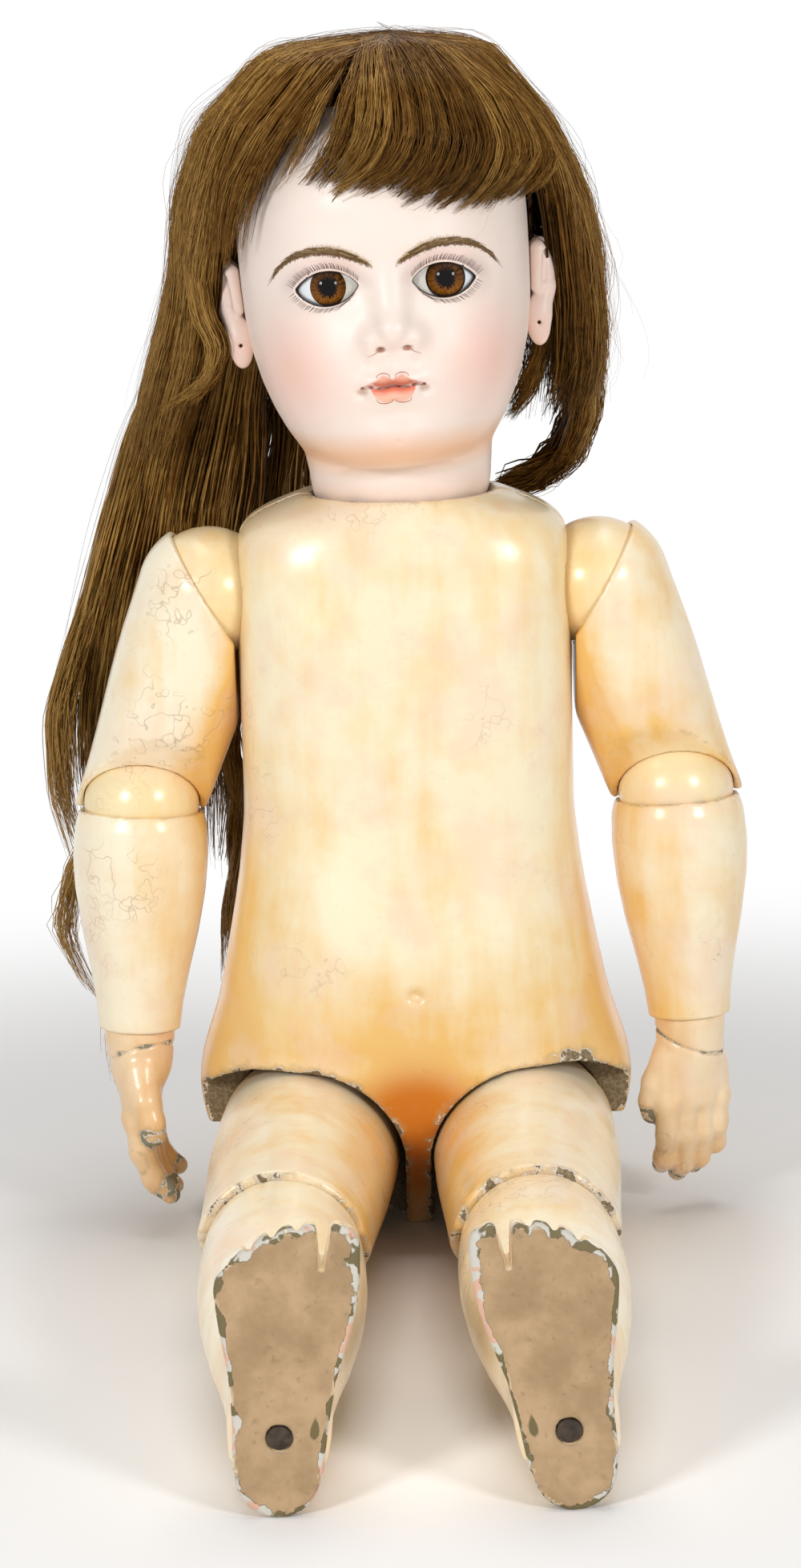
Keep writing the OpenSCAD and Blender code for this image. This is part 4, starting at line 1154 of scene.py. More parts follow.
# Share of the height, width, front and back
HEAD_SHARES = [
    (0, 0.45, 0.80, 0.34), (0.03, 0.62, 0.90, 0.45), (0.08, 0.745, 0.965, 0.58), (0.14, 0.83, 1.0, 0.70),
    (0.21, 0.90, 1.0, 0.80), (0.29, 0.955, 0.99, 0.88), (0.375, 0.985, 0.965, 0.94),
    (0.465, 0.995, 0.955, 0.98), (0.56, 1, 0.98, 1), (0.655, 1, 0.985, 1), (0.75, 0.955, 0.93, 0.96),
    (0.83, 0.87, 0.825, 0.875), (0.90, 0.735, 0.675, 0.735), (0.955, 0.545, 0.475, 0.545),
    (0.99, 0.30, 0.25, 0.30), (1, 0.12, 0.10, 0.12),
]
HEAD_SQUARE = 2.15
HEAD_ROWS = [
    (CHIN_Z + s * HEAD_H, w * HEAD_W, f * FACE_FRONT, b * HEAD_BACK, HEAD_SQUARE)
    for s, w, f, b in HEAD_SHARES
]
HEAD_LEAN = math.radians(3)
EYE_R = 12.5
EYE = np.array([21.3, -0.92 * FACE_FRONT + EYE_R + 2.4, CHIN_Z + 0.46 * HEAD_H])
LID_X, LID_Z = 20.75, 359.1
NOSE_X = 1.3
LID_HALF, LID_UP, LID_DOWN, LID_SLANT = 11.2, 5.7, 6.4, 0.03
FACE_Y = -36
NECK_R, BISQUE = 33.4, 4
NECK_CUT = 23
CROWN_AT, CROWN_TILT = np.array([0, 6, CHIN_Z + 0.88 * HEAD_H]), math.radians(18)


def leaned(V):
    """Lean points of the upright head to its place."""
    turn = np.array(Matrix.Rotation(-HEAD_LEAN, 3, "Y"))
    return NECK + (V - NECK) @ turn.T


def lid_outline(P):
    """Distance outside the almond of the eye's opening, seen from the front, on either side."""
    x = np.abs(P[..., 0]) - LID_X
    z = P[..., 2] - LID_Z + LID_SLANT * x
    up_r = (LID_HALF**2 + LID_UP**2) / (2 * LID_UP)
    down_r = (LID_HALF**2 + LID_DOWN**2) / (2 * LID_DOWN)
    upper = np.hypot(x, z - LID_UP + up_r) - up_r
    lower = np.hypot(x, z + LID_DOWN - down_r) - down_r
    return np.maximum(upper, lower)


# %% Head field
def face_forms(P):
    """Height of the soft forms of the face over the plain head."""
    Q = both(P)
    h = swell(Q, (30, -42, 331), (17, 16, 16), 2.2) + swell(P, (0, -54, 303.5), (11, 12, 7), 2.4)
    h = h + swell(P, (0, -56, 323.5), (14, 10, 9), 2.3) - swell(P, (0, -58, 313), (12, 9, 3.4), 2.0)
    h = h - swell(Q, (20.5, -52, 360.5), (13.5, 12, 9), 3.4) + swell(Q, (21, -52, 373.5), (18, 10, 5), 0.7)
    h = h - swell(Q, (10.5, -54, 333.5), (3, 8, 5.5), 1.0) - swell(P, (0, -59, 331.8), (1.7, 8, 3), 0.9)
    h = h - swell(Q, (11.4, -54, 321.8), (2.4, 7, 2.0), 1.5) + swell(P, (0, -56, 392), (26, 16, 16), 0.8)
    h = h - swell(P, (0.8, -57, 303.4), (1.3, 6, 0.9), 0.7)
    return h


def upper_lip_top(x):
    """Height of the upper lip's edge."""
    return np.interp(
        np.abs(x), *smooth_curve([0, 1.4, 3.4, 6.4, 11.7], [326.6, 327.4, 328.2, 326.2, 323.9], passes=1)
    )


def lower_lip_end(x):
    """Height of the lower lip's edge."""
    return np.interp(
        np.abs(x), *smooth_curve([0, 1.0, 3.2, 6.2, 8.2], [318.4, 317.9, 317.6, 319.2, 322.6], passes=1)
    )


def mouth_line(x):
    """Height of the line between the lips."""
    return 323.5 + 0.35 * np.cos(x * 0.75) * np.exp(-(x / 9) ** 2)


def lip_forms(P):
    """Height of the lips over the face, with the line between them."""
    x, z = P[..., 0], P[..., 2]
    front = between(P[..., 1], -40, -48)
    wide = np.clip(1 - (np.abs(x) / 12.2) ** 2, 0, 1)
    upper = 1.1 * np.exp(-((z - 326.2) / 1.9) ** 2) * (1 - 0.35 * np.exp(-(x / 1.4) ** 2))
    lower = 1.6 * np.exp(-((z - 320.8) / 2.3) ** 2) * np.clip(1.1 - (np.abs(x) / 10) ** 2, 0, 1)
    line = 1.5 * np.exp(-((z - mouth_line(x)) / 0.6) ** 2)
    return front * wide * (upper + lower - line)


def nose_form(P):
    """Distance to the nose: its ridge, tip and wings."""
    P = P - np.array([NOSE_X, 0, 0])
    Q = both(P)
    ridge = taper(P, (0, -48.5, 368), (0, -55.4, 345), 4.0, 5.2)
    nose = join(ridge, ball(P, (0, -57.4, 342.8), 5.4), 4)
    return join(nose, egg(Q, (6.3, -54.4, 339.8), (4.4, 5.0, 4.0)), 3)


def nostrils(P):
    """Distance to the hollows of the nostrils."""
    return egg(both(P - np.array([NOSE_X, 0, 0])), (4.7, -58.4, 336.7), (1.5, 2.8, 0.9))


def head_field(P):
    """The head with its face, lids and neck, and with its hollows cut."""
    Q = both(P)
    d = oval_stack(P, HEAD_ROWS) - face_forms(P) - lip_forms(P)
    d = join(d, nose_form(P), 6.5)
    d = cut(d, nostrils(P), 1.2)
    # Lids around the eyes
    lid = np.maximum(ball(Q, EYE, EYE_R + 1.75), P[..., 1] - FACE_Y)
    d = join(d, lid, 3.2)
    d = cut(d, np.maximum(lid_outline(P), P[..., 1] - FACE_Y), 0.45)
    d = cut(d, ball(Q, EYE, EYE_R + 0.35), 0.2)
    # Neck and its hollow
    up = np.array([0, 0, 22])
    d = join(d, taper(P, NECK, NECK + up, NECK_R, NECK_R + 3.2), 7)
    d = np.maximum(d, NECK[2] - NECK_CUT - P[..., 2])
    d = cut(d, taper(P, NECK, NECK + up, NECK_R - BISQUE, 20), 0.5)
    d = cut(d, np.maximum(np.hypot(P[..., 0], P[..., 1]) - 0.5 * NECK_R, P[..., 2] - NECK[2]), 0.5)
    # Open crown, under the cork
    crown = (P - CROWN_AT) @ np.array([0, math.sin(CROWN_TILT), math.cos(CROWN_TILT)])
    return cut(d, -crown, 0.5)


# %% Head paint values
BROW_X = [4.4, 8, 13.5, 19, 24.5, 30, 34, 37, 39.4]
BROW_LOW = smooth_curve(BROW_X, [365.4, 366.8, 369.0, 370.3, 370.6, 369.8, 368.0, 365.9, 363.0], passes=1)
BROW_TOP = smooth_curve(BROW_X, [367.2, 370.0, 373.2, 374.4, 374.3, 372.9, 370.5, 367.6, 363.4], passes=1)


def brow_depth(x, z):
    """How far inside a brow a point lies."""
    x = np.abs(x)
    ends = np.minimum(x - BROW_X[0], BROW_X[-1] - x)
    return np.minimum(np.minimum(np.interp(x, *BROW_TOP) - z, z - np.interp(x, *BROW_LOW)), ends)


def brow_share(x, z):
    """Share of a brow's width above its lower edge."""
    low, top = np.interp(np.abs(x), *BROW_LOW), np.interp(np.abs(x), *BROW_TOP)
    return (z - low) / np.maximum(top - low, 0.5)


def head_marks(V):
    """The values that the paint of the face is laid on by."""
    x, y, z = V.T
    Q = both(V)
    front = np.where(y < FACE_Y, 0, 9)
    lid = lid_outline(V)
    above = between(z - LID_Z, -2, 3)
    shade = np.exp(-(np.maximum(lid - 0.9, 0) / 3.4) ** 2) * between(lid, 0.5, 1.1)
    shade = shade * (0.15 + 0.85 * above)
    rosy = swell(Q, (33, -38, 330), (17, 30, 17), 1.0) + swell(Q, (20, -50, 366.5), (13, 30, 4), 0.45)
    rosy = rosy + swell(V, (0, -56, 301), (13, 20, 7), 0.35)
    rosy = rosy + swell(V, (0, -60, 341), (8, 20, 5), 0.12) + 0.45 * between(np.abs(x), 54, 58)
    # Painted warm shade under the chin and down the neck
    chin_neck_shade = between(z, 308, 299) * between(z, 288, 296) + 0.25 * between(z, 290, 282)
    upper = np.minimum(upper_lip_top(x) - z, z - mouth_line(x)) - front
    lower = np.minimum(mouth_line(x) - z, z - lower_lip_end(x)) - front
    return {
        "upper_lip": np.clip(np.minimum(upper, 11.8 - np.abs(x)), -4, 4),
        "lower_lip": np.clip(np.minimum(lower, 8.2 - np.abs(x)), -4, 4),
        # Painted shade in the hollows at the corners of the mouth
        "corner": swell(Q, (11.0, -54, 322.2), (2.2, 12, 1.5), 1.0) * (z < mouth_line(x) + 0.4),
        "mouth": np.clip(np.abs(z - mouth_line(x)), 0, 6),
        "mouth_near": np.clip(11.9 - np.abs(x) - front, -4, 4),
        "brow": np.clip(brow_depth(x, z) - front, -4, 4),
        "brow_up": np.clip(brow_share(x, z), 0, 1),
        "lid": np.clip(lid + front, -3, 9),
        "lid_shade": shade * (y < FACE_Y),
        "rosy": np.clip(rosy, 0, 1),
        "chin_neck_shade": chin_neck_shade,
        "nostril": np.clip(0.6 - nostrils(V) / 0.6, 0, 1),
    }


# %% Bisque material
def bisque_finish():
    """Matt bisque, with the face painted on by the stored values."""
    made, tree, shader = new_tree_material("pale bisque")
    here = own_place(tree)
    cloud = noisy(tree, here, 26, 3.0)
    colour = blended(tree, ramped(tree, cloud, 0.35, 0.65), (0.905, 0.765, 0.675), (0.93, 0.80, 0.72))
    rosy = maths(tree, "MULTIPLY", marked(tree, "rosy"), 0.78)
    colour = blended(tree, rosy, colour, (0.91, 0.545, 0.44))
    # Painted warm shade under the chin and on the neck
    colour = blended(tree, maths(tree, "MULTIPLY", marked(tree, "chin_neck_shade"), 0.75), colour, (0.90, 0.50, 0.28))
    colour = blended(
        tree, maths(tree, "MULTIPLY", marked(tree, "lid_shade"), 0.5), colour, (0.56, 0.37, 0.34)
    )
    # Rims of the lids: a pale band that is partly a painted highlight on the lid's edge, then a dark liner
    # at the opening that is partly painted shade of the gap under the lid
    lid = marked(tree, "lid")
    colour = blended(tree, ramped(tree, lid, 0.85, 0.55), colour, (0.90, 0.74, 0.65))
    colour = blended(tree, ramped(tree, lid, 0.40, 0.16), colour, (0.030, 0.019, 0.014))
    # Brows
    streak = noisy(tree, own_place(tree, (2300, 300, 900)), 1.0, 2.0)
    brow = maths(tree, "ADD", marked(tree, "brow"), ramped(tree, streak, 0.3, 0.7, -0.6, 0.5))
    high = marked(tree, "brow_up")
    brow_tone = blended(tree, ramped(tree, high, 0.05, 0.6), (0.10, 0.048, 0.010), (0.33, 0.21, 0.062))
    worn_off = ramped(tree, high, 0.5, 1.0, 0.92, 0.4)
    colour = blended(
        tree, maths(tree, "MULTIPLY", ramped(tree, brow, -0.45, 0.5), worn_off), colour, brow_tone
    )
    # Lips and the line between them
    mouth = marked(tree, "mouth")
    upper_tone = blended(tree, ramped(tree, mouth, 0.8, 3.6), (0.52, 0.075, 0.015), (0.84, 0.38, 0.24))
    lower_tone = blended(tree, ramped(tree, mouth, 1.0, 3.4), (0.80, 0.12, 0.028), (0.93, 0.50, 0.36))
    # Painted shade in the corners of the mouth
    colour = blended(
        tree, ramped(tree, marked(tree, "corner"), 0.1, 0.9, 0.0, 0.6), colour, (0.40, 0.21, 0.11)
    )
    colour = blended(tree, ramped(tree, marked(tree, "upper_lip"), -0.2, 1.1, 0.0, 0.92), colour, upper_tone)
    colour = blended(tree, ramped(tree, marked(tree, "lower_lip"), -0.2, 0.7, 0.0, 0.88), colour, lower_tone)
    line = maths(
        tree, "MULTIPLY", ramped(tree, mouth, 0.75, 0.25),
        ramped(tree, marked(tree, "mouth_near"), 0.0, 0.6),
    )
    colour = blended(tree, line, colour, (0.20, 0.018, 0.004))
    colour = blended(tree, marked(tree, "nostril"), colour, (0.42, 0.13, 0.06))
    # Specks, and the fine grain of bisque
    specks = noisy(tree, here, 900, 2.0)
    colour = blended(tree, ramped(tree, specks, 0.66, 0.80, 0.0, 0.18), colour, (0.45, 0.30, 0.22))
    tree.links.new(colour, shader.inputs["Base Color"])
    gloss = ramped(tree, noisy(tree, here, 120, 3.0), 0.3, 0.7, 0.36, 0.46)
    tree.links.new(gloss, shader.inputs["Roughness"])
    bump = node(tree, "ShaderNodeBump", Distance=0.00012, Strength=0.35)
    tree.links.new(noisy(tree, here, 1500, 2.0), bump.inputs["Height"])
    tree.links.new(bump.outputs[0], shader.inputs["Normal"])
    shader.inputs["Specular IOR Level"].default_value = 0.45
    return made


bisque = bisque_finish()

# %% Head piece
HEAD_STEP = 1.03
upright, F = grow(head_field, (-56, -66, NECK[2] - NECK_CUT), (56, 66, 438), HEAD_STEP)
piece = mesh_object("bisque_head", leaned(upright), F, head_marks(upright))
dress(piece, bisque, "head", "pale_bisque", "head")

# %% [markdown]
# ## Glass eyes
# Each eye is a white glass bulb with a clear brown crown over its iris. The iris is drawn on the crown
# from stored values, the distance from its middle and the direction round it. Streaks run along the
# radius because the noise is looked up by direction, and the pupil's edge follows the same streaks, which
# gives its ragged star.

# %% Eye meshes
IRIS_R = 7
CROWN_RISE = 1.5
rim_back = math.sqrt(EYE_R**2 - IRIS_R**2)
dome_rise = EYE_R + CROWN_RISE - rim_back
DOME_R = (IRIS_R**2 + dome_rise**2) / (2 * dome_rise)


def round_cap(centre, radius, widest, rings, around):
    """Points and faces of a ball's cap that looks towards -Y, and each point's direction round it."""
    angle = np.repeat(np.linspace(0.002, widest, rings), around)
    turn = np.tile(np.arange(around) * math.tau / around, rings)
    side = radius * np.sin(angle)
    V = centre + np.stack([side * np.cos(turn), -radius * np.cos(angle), side * np.sin(turn)], -1)
    k = np.arange(rings - 1)[:, None] * around
    a = np.arange(around)[None, :]
    b = (a + 1) % around
    F = np.stack([k + a, k + b, k + around + b, k + around + a], -1).reshape(-1, 4)
    return V, F, turn


GAZE = {"right": 0.9, "left": 0.0}


def eye_glass(name, base, rough):
    """Glass under a clear glossy coat."""
    made, tree, shader = new_tree_material(name)
    shader.inputs["Base Color"].default_value = (*base, 1)
    shader.inputs["Roughness"].default_value = rough
    shader.inputs["Coat Weight"].default_value = 0.33
    shader.inputs["Coat Roughness"].default_value = 0.02
    shader.inputs["Specular IOR Level"].default_value = 0.0
    return made, tree, shader


def under_lid(tree, colour):
    """The colour darkened in the lid's shadow along the edge of the opening."""
    return blended(
        tree, ramped(tree, marked(tree, "lid_depth"), 0.2, 1.5, 0.8, 0.0), colour, (0.05, 0.032, 0.025)
    )


EYE_WHITE = (0.80, 0.84, 0.87)
white_glass, tree, shader = eye_glass("white glass", EYE_WHITE, 0.15)
tree.links.new(under_lid(tree, EYE_WHITE), shader.inputs["Base Color"])
brown_glass, tree, shader = eye_glass("brown glass", (0.1, 0.04, 0.01), 0.25)
out_share = marked(tree, "iris_out")
way = node(tree, "ShaderNodeCombineXYZ")
tree.links.new(marked(tree, "iris_x"), way.inputs[0])
tree.links.new(marked(tree, "iris_z"), way.inputs[1])
streak = noisy(tree, way.outputs[0], 7.5, 3.0, 0.6)
low_side = ramped(tree, marked(tree, "iris_z"), 0.9, -0.9)
light = maths(
    tree, "ADD", maths(tree, "MULTIPLY", low_side, 0.55), ramped(tree, streak, 0.3, 0.7, -0.15, 0.4),
    clamp=True,
)
colour = blended(tree, light, (0.035, 0.011, 0.002), (0.30, 0.105, 0.010))
colour = blended(tree, ramped(tree, out_share, 0.84, 0.98), colour, (0.010, 0.005, 0.003))
pupil = maths(tree, "SUBTRACT", out_share, ramped(tree, streak, 0.3, 0.7, 0.36, 0.64))
colour = blended(tree, ramped(tree, pupil, 0.03, -0.03), colour, (0.003, 0.002, 0.002))
tree.links.new(under_lid(tree, colour), shader.inputs["Base Color"])

# %% Eye pieces
for side, sign in SIGNS.items():
    centre = EYE * np.array([sign, 1, 1])
    V, F, _ = round_cap(centre, EYE_R, math.radians(178), rings=44, around=56)
    bulb = mesh_object(side + "_eye_bulb", leaned(V), F, {"lid_depth": -lid_outline(V)})
    dress(bulb, white_glass, "head", "white_glass", side + "_eye")
    centre = centre + np.array([GAZE[side], 0, 0])
    dome_at = centre - np.array([0, EYE_R + CROWN_RISE - DOME_R, 0])
    V, F, turn = round_cap(dome_at, DOME_R, math.asin(IRIS_R / DOME_R), rings=26, around=72)
    out_share = np.hypot(*(V - centre)[:, [0, 2]].T) / IRIS_R
    marks = {
        "iris_out": out_share, "iris_x": np.cos(turn), "iris_z": np.sin(turn),
        "lid_depth": -lid_outline(V),
    }
    piece = mesh_object(side + "_eye_iris", leaned(V), F, marks)
    dress(piece, brown_glass, "head", "clear_brown_glass", side + "_eye_crown")

# %% [markdown]
# ## Ears
# The applied ears stand a little off the head. Seen from the front, the rolled rim hides the hollow, a
# crease parts it from the lower rim, and the long lobe is pierced.


# %% Ears
EAR_HOLE, EAR_HOLE_R = np.array([54.6, 0, 336.6]), 0.75
EAR_STEP = 0.7


def ear_field(P):
    """A rolled rim over a hollow, and a pierced lobe."""
    d = join(egg(P, (55.8, 8.5, 354), (4.6, 10, 13.5)), egg(P, (57.6, 4.0, 353.5), (4.2, 5.4, 12.5)), 2.5)
    roll = join(
        taper(P, (56.2, -0.6, 363.2), (54.6, -2.0, 349.5), 3.0, 2.1),
        taper(P, (57.5, 2, 365.2), (60, 6, 362), 2.2, 1.6), 2,
    )
    d = join(d, roll, 1.2)
    d = cut(d, taper(P, (58.9, -1.6, 361), (57.8, -2.2, 352), 1.5, 1.1), 1.4)
    d = cut(d, taper(P, (53.2, -4.2, 346.8), (61.5, -1.5, 352.2), 0.35, 0.35), 1.0)
    lower = taper(P, (58.2, 1.8, 349), (55.6, -0.2, 340), 3.4, 3.6)
    lobe = egg(P, (54.5, -0.4, 337.2), (4.5, 3.4, 9.2))
    d = join(d, join(lower, lobe, 3), 1.6)
    hole = np.hypot(P[..., 0] - EAR_HOLE[0], P[..., 2] - EAR_HOLE[2]) - EAR_HOLE_R
    return cut(d, hole, 0.4)


V, F = grow(ear_field, (48, -8, 326), (64, 20, 371), EAR_STEP)
marks = {"rosy": 0.35 + 0.3 * fade(egg(V, (54.5, -0.4, 333), (4, 4, 5)), 5), "lid": np.full(len(V), 9.0)}
marks.update({mark: np.full(len(V), -4.0) for mark in ("upper_lip", "lower_lip", "brow", "mouth_near")})
for side, sign in SIGNS.items():
    W = leaned(V * np.array([sign, 1, 1]))
    dress(
        mesh_object(side + "_pierced_ear", W, F[:, ::sign], marks), bisque, "head", "pale_bisque",
        side + "_ear",
    )

# %% [markdown]
# ## Painted lines
# Lashes, brow hairs and the lines at the lips are single strokes of a fine brush, and the lines that trail
# from the nostrils are strokes of painted shade under the nose's wings. Each is a thin flat ribbon laid just
# over the bisque: its points are drawn in the front view and slid back onto the head's field.


# %% Stroke tools
STROKE_LIFT = 0.07
STROKE_POINTS = 7
LASH_WIDTH, BROW_WIDTH = 0.24, 0.20
FACE_START, FACE_STEPS = -66.0, 14


def onto_face(x, z):
    """Points on the face, straight behind points of the front view, lifted by a brush's thickness."""
    P = np.stack([x, np.full_like(x, FACE_START), z], -1)
    for _ in range(FACE_STEPS):
        P[:, 1] += np.clip(head_field(P) - STROKE_LIFT, -1.5, 3) * 0.85
    return P


def strokes(name, lines, material):
    """One piece of thin ribbons. Each line has the front view's points and the width along it."""
    xs, zs, widths = (np.array(part) for part in zip(*lines))
    many, long = xs.shape
    dx, dz = np.gradient(xs, axis=1), np.gradient(zs, axis=1)
    size = np.hypot(dx, dz) + TINY
    across = np.stack([-dz / size, dx / size], -1) * widths[..., None] / 2
    x = np.stack([xs - across[..., 0], xs + across[..., 0]], -1)
    z = np.stack([zs - across[..., 1], zs + across[..., 1]], -1)
    V = onto_face(x.ravel(), z.ravel())
    start = (np.arange(many)[:, None] * long + np.arange(long - 1)[None, :]).ravel() * 2
    F = np.stack([start, start + 1, start + 3, start + 2], -1)
    dress(mesh_object(name, leaned(V), F), material, "head", "pale_bisque")


def plain_line_colour(name, colour):
    """One plain colour for lines: brush strokes, and the painted shade under the nose's wings."""
    made, tree, shader = new_tree_material(name)
    shader.inputs["Base Color"].default_value = (*colour, 1)
    shader.inputs["Roughness"].default_value = 0.5
    return made


lash_paint = plain_line_colour("lash paint", (0.075, 0.045, 0.035))
brow_paint = plain_line_colour("brow paint", (0.13, 0.062, 0.010))
lip_paint = plain_line_colour("lip line paint", (0.46, 0.13, 0.075))
# Painted shade along the lower edge of each nose wing
nostril_shade_paint = plain_line_colour("nostril shade line", (0.58, 0.36, 0.25))


# %% Lashes and brow hairs
def lid_edge(share, upper):
    """Point of the eye's outline at a share of its width, from the inner to the outer corner."""
    x = LID_HALF * (2 * share - 1)
    rise, drop = LID_UP, LID_DOWN
    r = (LID_HALF**2 + rise**2) / (2 * rise) if upper else (LID_HALF**2 + drop**2) / (2 * drop)
    bow = np.sqrt(np.maximum(r * r - x * x, 0)) - r
    z = rise + bow if upper else -drop - bow
    return LID_X + x, LID_Z + z - LID_SLANT * x


def lash(share, upper, start, length, lean, bend):
    """A tapering stroke away from the lid, which bends outwards."""
    x, z = lid_edge(share, upper)
    t = np.linspace(0, 1, STROKE_POINTS)
    way = math.pi / 2 - lean if upper else lean - math.pi / 2
    turn = way + (bend * t if not upper else -bend * t)
    sx = x + np.cos(way) * start + np.cumsum(np.cos(turn)) * length / STROKE_POINTS
    sz = z + np.sin(way) * start + np.cumsum(np.sin(turn)) * length / STROKE_POINTS
    return sx, sz, LASH_WIDTH * (1 - 0.75 * t)


def on_both(lines):
    """Lines of the doll's left side, and the same lines mirrored."""
    return lines + [(-x, z, w) for x, z, w in lines]


upper_lashes, lower_lashes, brow_hairs = [], [], []
for share in np.linspace(0.02, 1.0, 54):
    lean = -0.35 + 1.15 * share + rng.normal(0, 0.06)
    length = 2.2 + 1.0 * share + rng.normal(0, 0.2)
    upper_lashes.append(lash(share, True, 0.7, length, lean, 0.35))
for share in np.linspace(0.05, 0.99, 38):
    lean = 0.45 + 0.35 * share + rng.normal(0, 0.05)
    length = 2.5 + 0.6 * share + rng.normal(0, 0.25)
    lower_lashes.append(lash(share, False, 0.5, length, lean, 0.25))
for x in np.sort(rng.uniform(4.8, 38.2, 230)):
    low, top = np.interp(x, *BROW_LOW), np.interp(x, *BROW_TOP)
    z = low + (top - low) * rng.uniform(0.05, 0.75)
    slope = np.interp(x + 1, *BROW_LOW) - np.interp(x - 1, *BROW_LOW)
    t = np.linspace(0, 1, STROKE_POINTS)
    long = rng.uniform(2.0, 4.2)
    lift = rng.uniform(0.05, 0.38)
    high = z + long * t * (slope / 2 + lift * (1 - t))
    brow_hairs.append((x + long * t, high, BROW_WIDTH * (1 - 0.7 * t)))
strokes("upper_lashes", on_both(upper_lashes), lash_paint)
strokes("lower_lashes", on_both(lower_lashes), lash_paint)
strokes("brow_hairs", on_both(brow_hairs), brow_paint)

# %% Lip lines, and painted shade lines at the nostrils
t = np.linspace(0, 1, 19)
arc = math.pi * (1.06 - 1.12 * t)
thick = 0.30 - 0.14 * np.abs(2 * t - 1)
bow = (3.3 + 2.3 * np.cos(arc), 327.1 + 1.3 * np.sin(arc), thick)
bowl = (3.3 + 2.8 * np.cos(arc), 319.0 - 1.3 * np.sin(arc), thick)
strokes("lip_lines", on_both([bow, bowl]), lip_paint)
# Painted shade trailing from each nostril along the lower edge of its wing
apart, height, thick = 5.9 + 3.6 * t, 336.2 - 2.0 * t**0.7, 0.42 * (1 - 0.7 * t)
wings = [(NOSE_X + apart, height, thick), (NOSE_X - apart, height, thick)]
strokes("nostril_wing_shade", wings, nostril_shade_paint)

# %% [markdown]
# ## Wig
# The wig is long brown hair that starts at a crown point and falls over the sides and back, with a fringe
# combed down over the forehead. A few guides, each a given run of points, say where the hair flows.
# Strands are spread between neighbouring guides, gathered into clumps, waved, and sunk to different depths,
# and the deep ones are darker as painted shade. Coarse dark strands fill the inside of the thick sheets as
# painted shade and fine light ones lie over them, so gaps between locks look deep. A thin dark cap on the
# scalp closes what is left, also as painted shade.

# %% Strand tools
CROWN = (8, 8, 444.2)
CROWN_ROUND = 84
SWING_LENGTH = 66
STRAND_R = 0.24
HEAD_MIDDLE = np.array([0, 6, 372])


def through(points, count):
    """A smooth run of points through a guide's points."""
    P = np.asarray(points, float)
    far = np.r_[0, np.cumsum(np.linalg.norm(np.diff(P, axis=0), axis=1))]
    even = np.linspace(0, far[-1], count)
    return np.stack([np.interp(even, *smooth_curve(far, P[:, k], passes=2)) for k in range(3)], -1)


def unit(v):
    """Vectors brought to length 1."""
    return v / (np.linalg.norm(v, axis=-1, keepdims=True) + TINY)


def outwards(P):
    """Direction away from the head's axis, or from its middle above it."""
    middle = np.broadcast_to(HEAD_MIDDLE, P.shape).copy()
    middle[..., 2] = np.minimum(P[..., 2], HEAD_MIDDLE[2])
    return unit(P - middle)


def sheet(
    guides, count, points=18, depth=6.0, ragged=0.12, wave=1.0, fuzz=0.35, clumps=14, gather=0.65,
    turns=(0.7, 1.6), scatter=0.0, bright=0.0, swing=0.0,
):
    """Strands that flow between neighbouring guides, with a tone for each: low inside as painted shade,
    varied by clump.
    """
    G = np.stack([through(g, points) for g in guides])
    t = np.linspace(0, 1, points)
    # Each strand has a place between two guides and is drawn to its clump's middle
    u = rng.uniform(0, len(G) - 1, count)
    clump = np.floor(u * clumps).astype(int)
    many = clump.max() + 1
    middle = (clump + 0.5) / clumps
    place = u[:, None] + (middle - u)[:, None] * gather * t**1.3
    place = np.clip(place, 0, len(G) - 1.001)
    k = np.floor(place).astype(int)
    f = (place - k)[..., None]
    every = np.arange(points)[None, :]
    P = G[k, every] * (1 - f) + G[k + 1, every] * f
    # Ends are ragged, clump by clump
    stop = 1 - ragged * (0.6 * rng.random(many)[clump] + 0.4 * rng.random(count))
    along = t[None, :] * stop[:, None] * (points - 1)
    i = np.minimum(along.astype(int), points - 2)
    rows = np.arange(count)[:, None]
    P = P[rows, i] + (P[rows, i + 1] - P[rows, i]) * (along - i)[..., None]
    # Waves run sideways and a little outwards, and each strand is sunk by its own depth
    n = outwards(P)
    side = unit(np.cross(np.gradient(P, axis=1), n))
    sunk = rng.random(count) ** 1.4
    turns = rng.uniform(*turns, many)[clump] + rng.normal(0, 0.08, count)
    phase = rng.uniform(0, 7, many)[clump] + rng.normal(0, 0.5, count)
    grows = (0.15 + 0.85 * t)[None, :]
    loose = 1 + 5 * rng.random(count)[:, None] ** 7
    sway = wave * grows * np.sin(math.tau * turns[:, None] * t + phase[:, None])
    sway = sway + swing * grows * np.sin(math.tau * P[..., 2] / SWING_LENGTH + 1.6 * u[:, None])
    own = fuzz * loose * grows * np.sin(
        math.tau * rng.uniform(1, 3, count)[:, None] * t + rng.uniform(0, 7, count)[:, None]
    )
    lift = -depth * sunk[:, None] * np.minimum(1, 6 * t + 0.2) + 0.5 * own
    P = P + side * (sway + own)[..., None] + n * (lift + 0.35 * sway)[..., None]
    # Roots spread over the round of the crown
    root = rng.normal(0, scatter, (count, 3))
    root[:, 2] = -(root[:, 0] ** 2 + root[:, 1] ** 2) / CROWN_ROUND
    P = P + root[:, None, :] * ((1 - t) ** 4)[None, :, None]
    # Deep strands are darker, as painted shade inside the hair
    tone = bright + 0.5 * rng.random(many)[clump] + 0.5 * rng.random(count) - 0.45 * sunk
    return P, tone


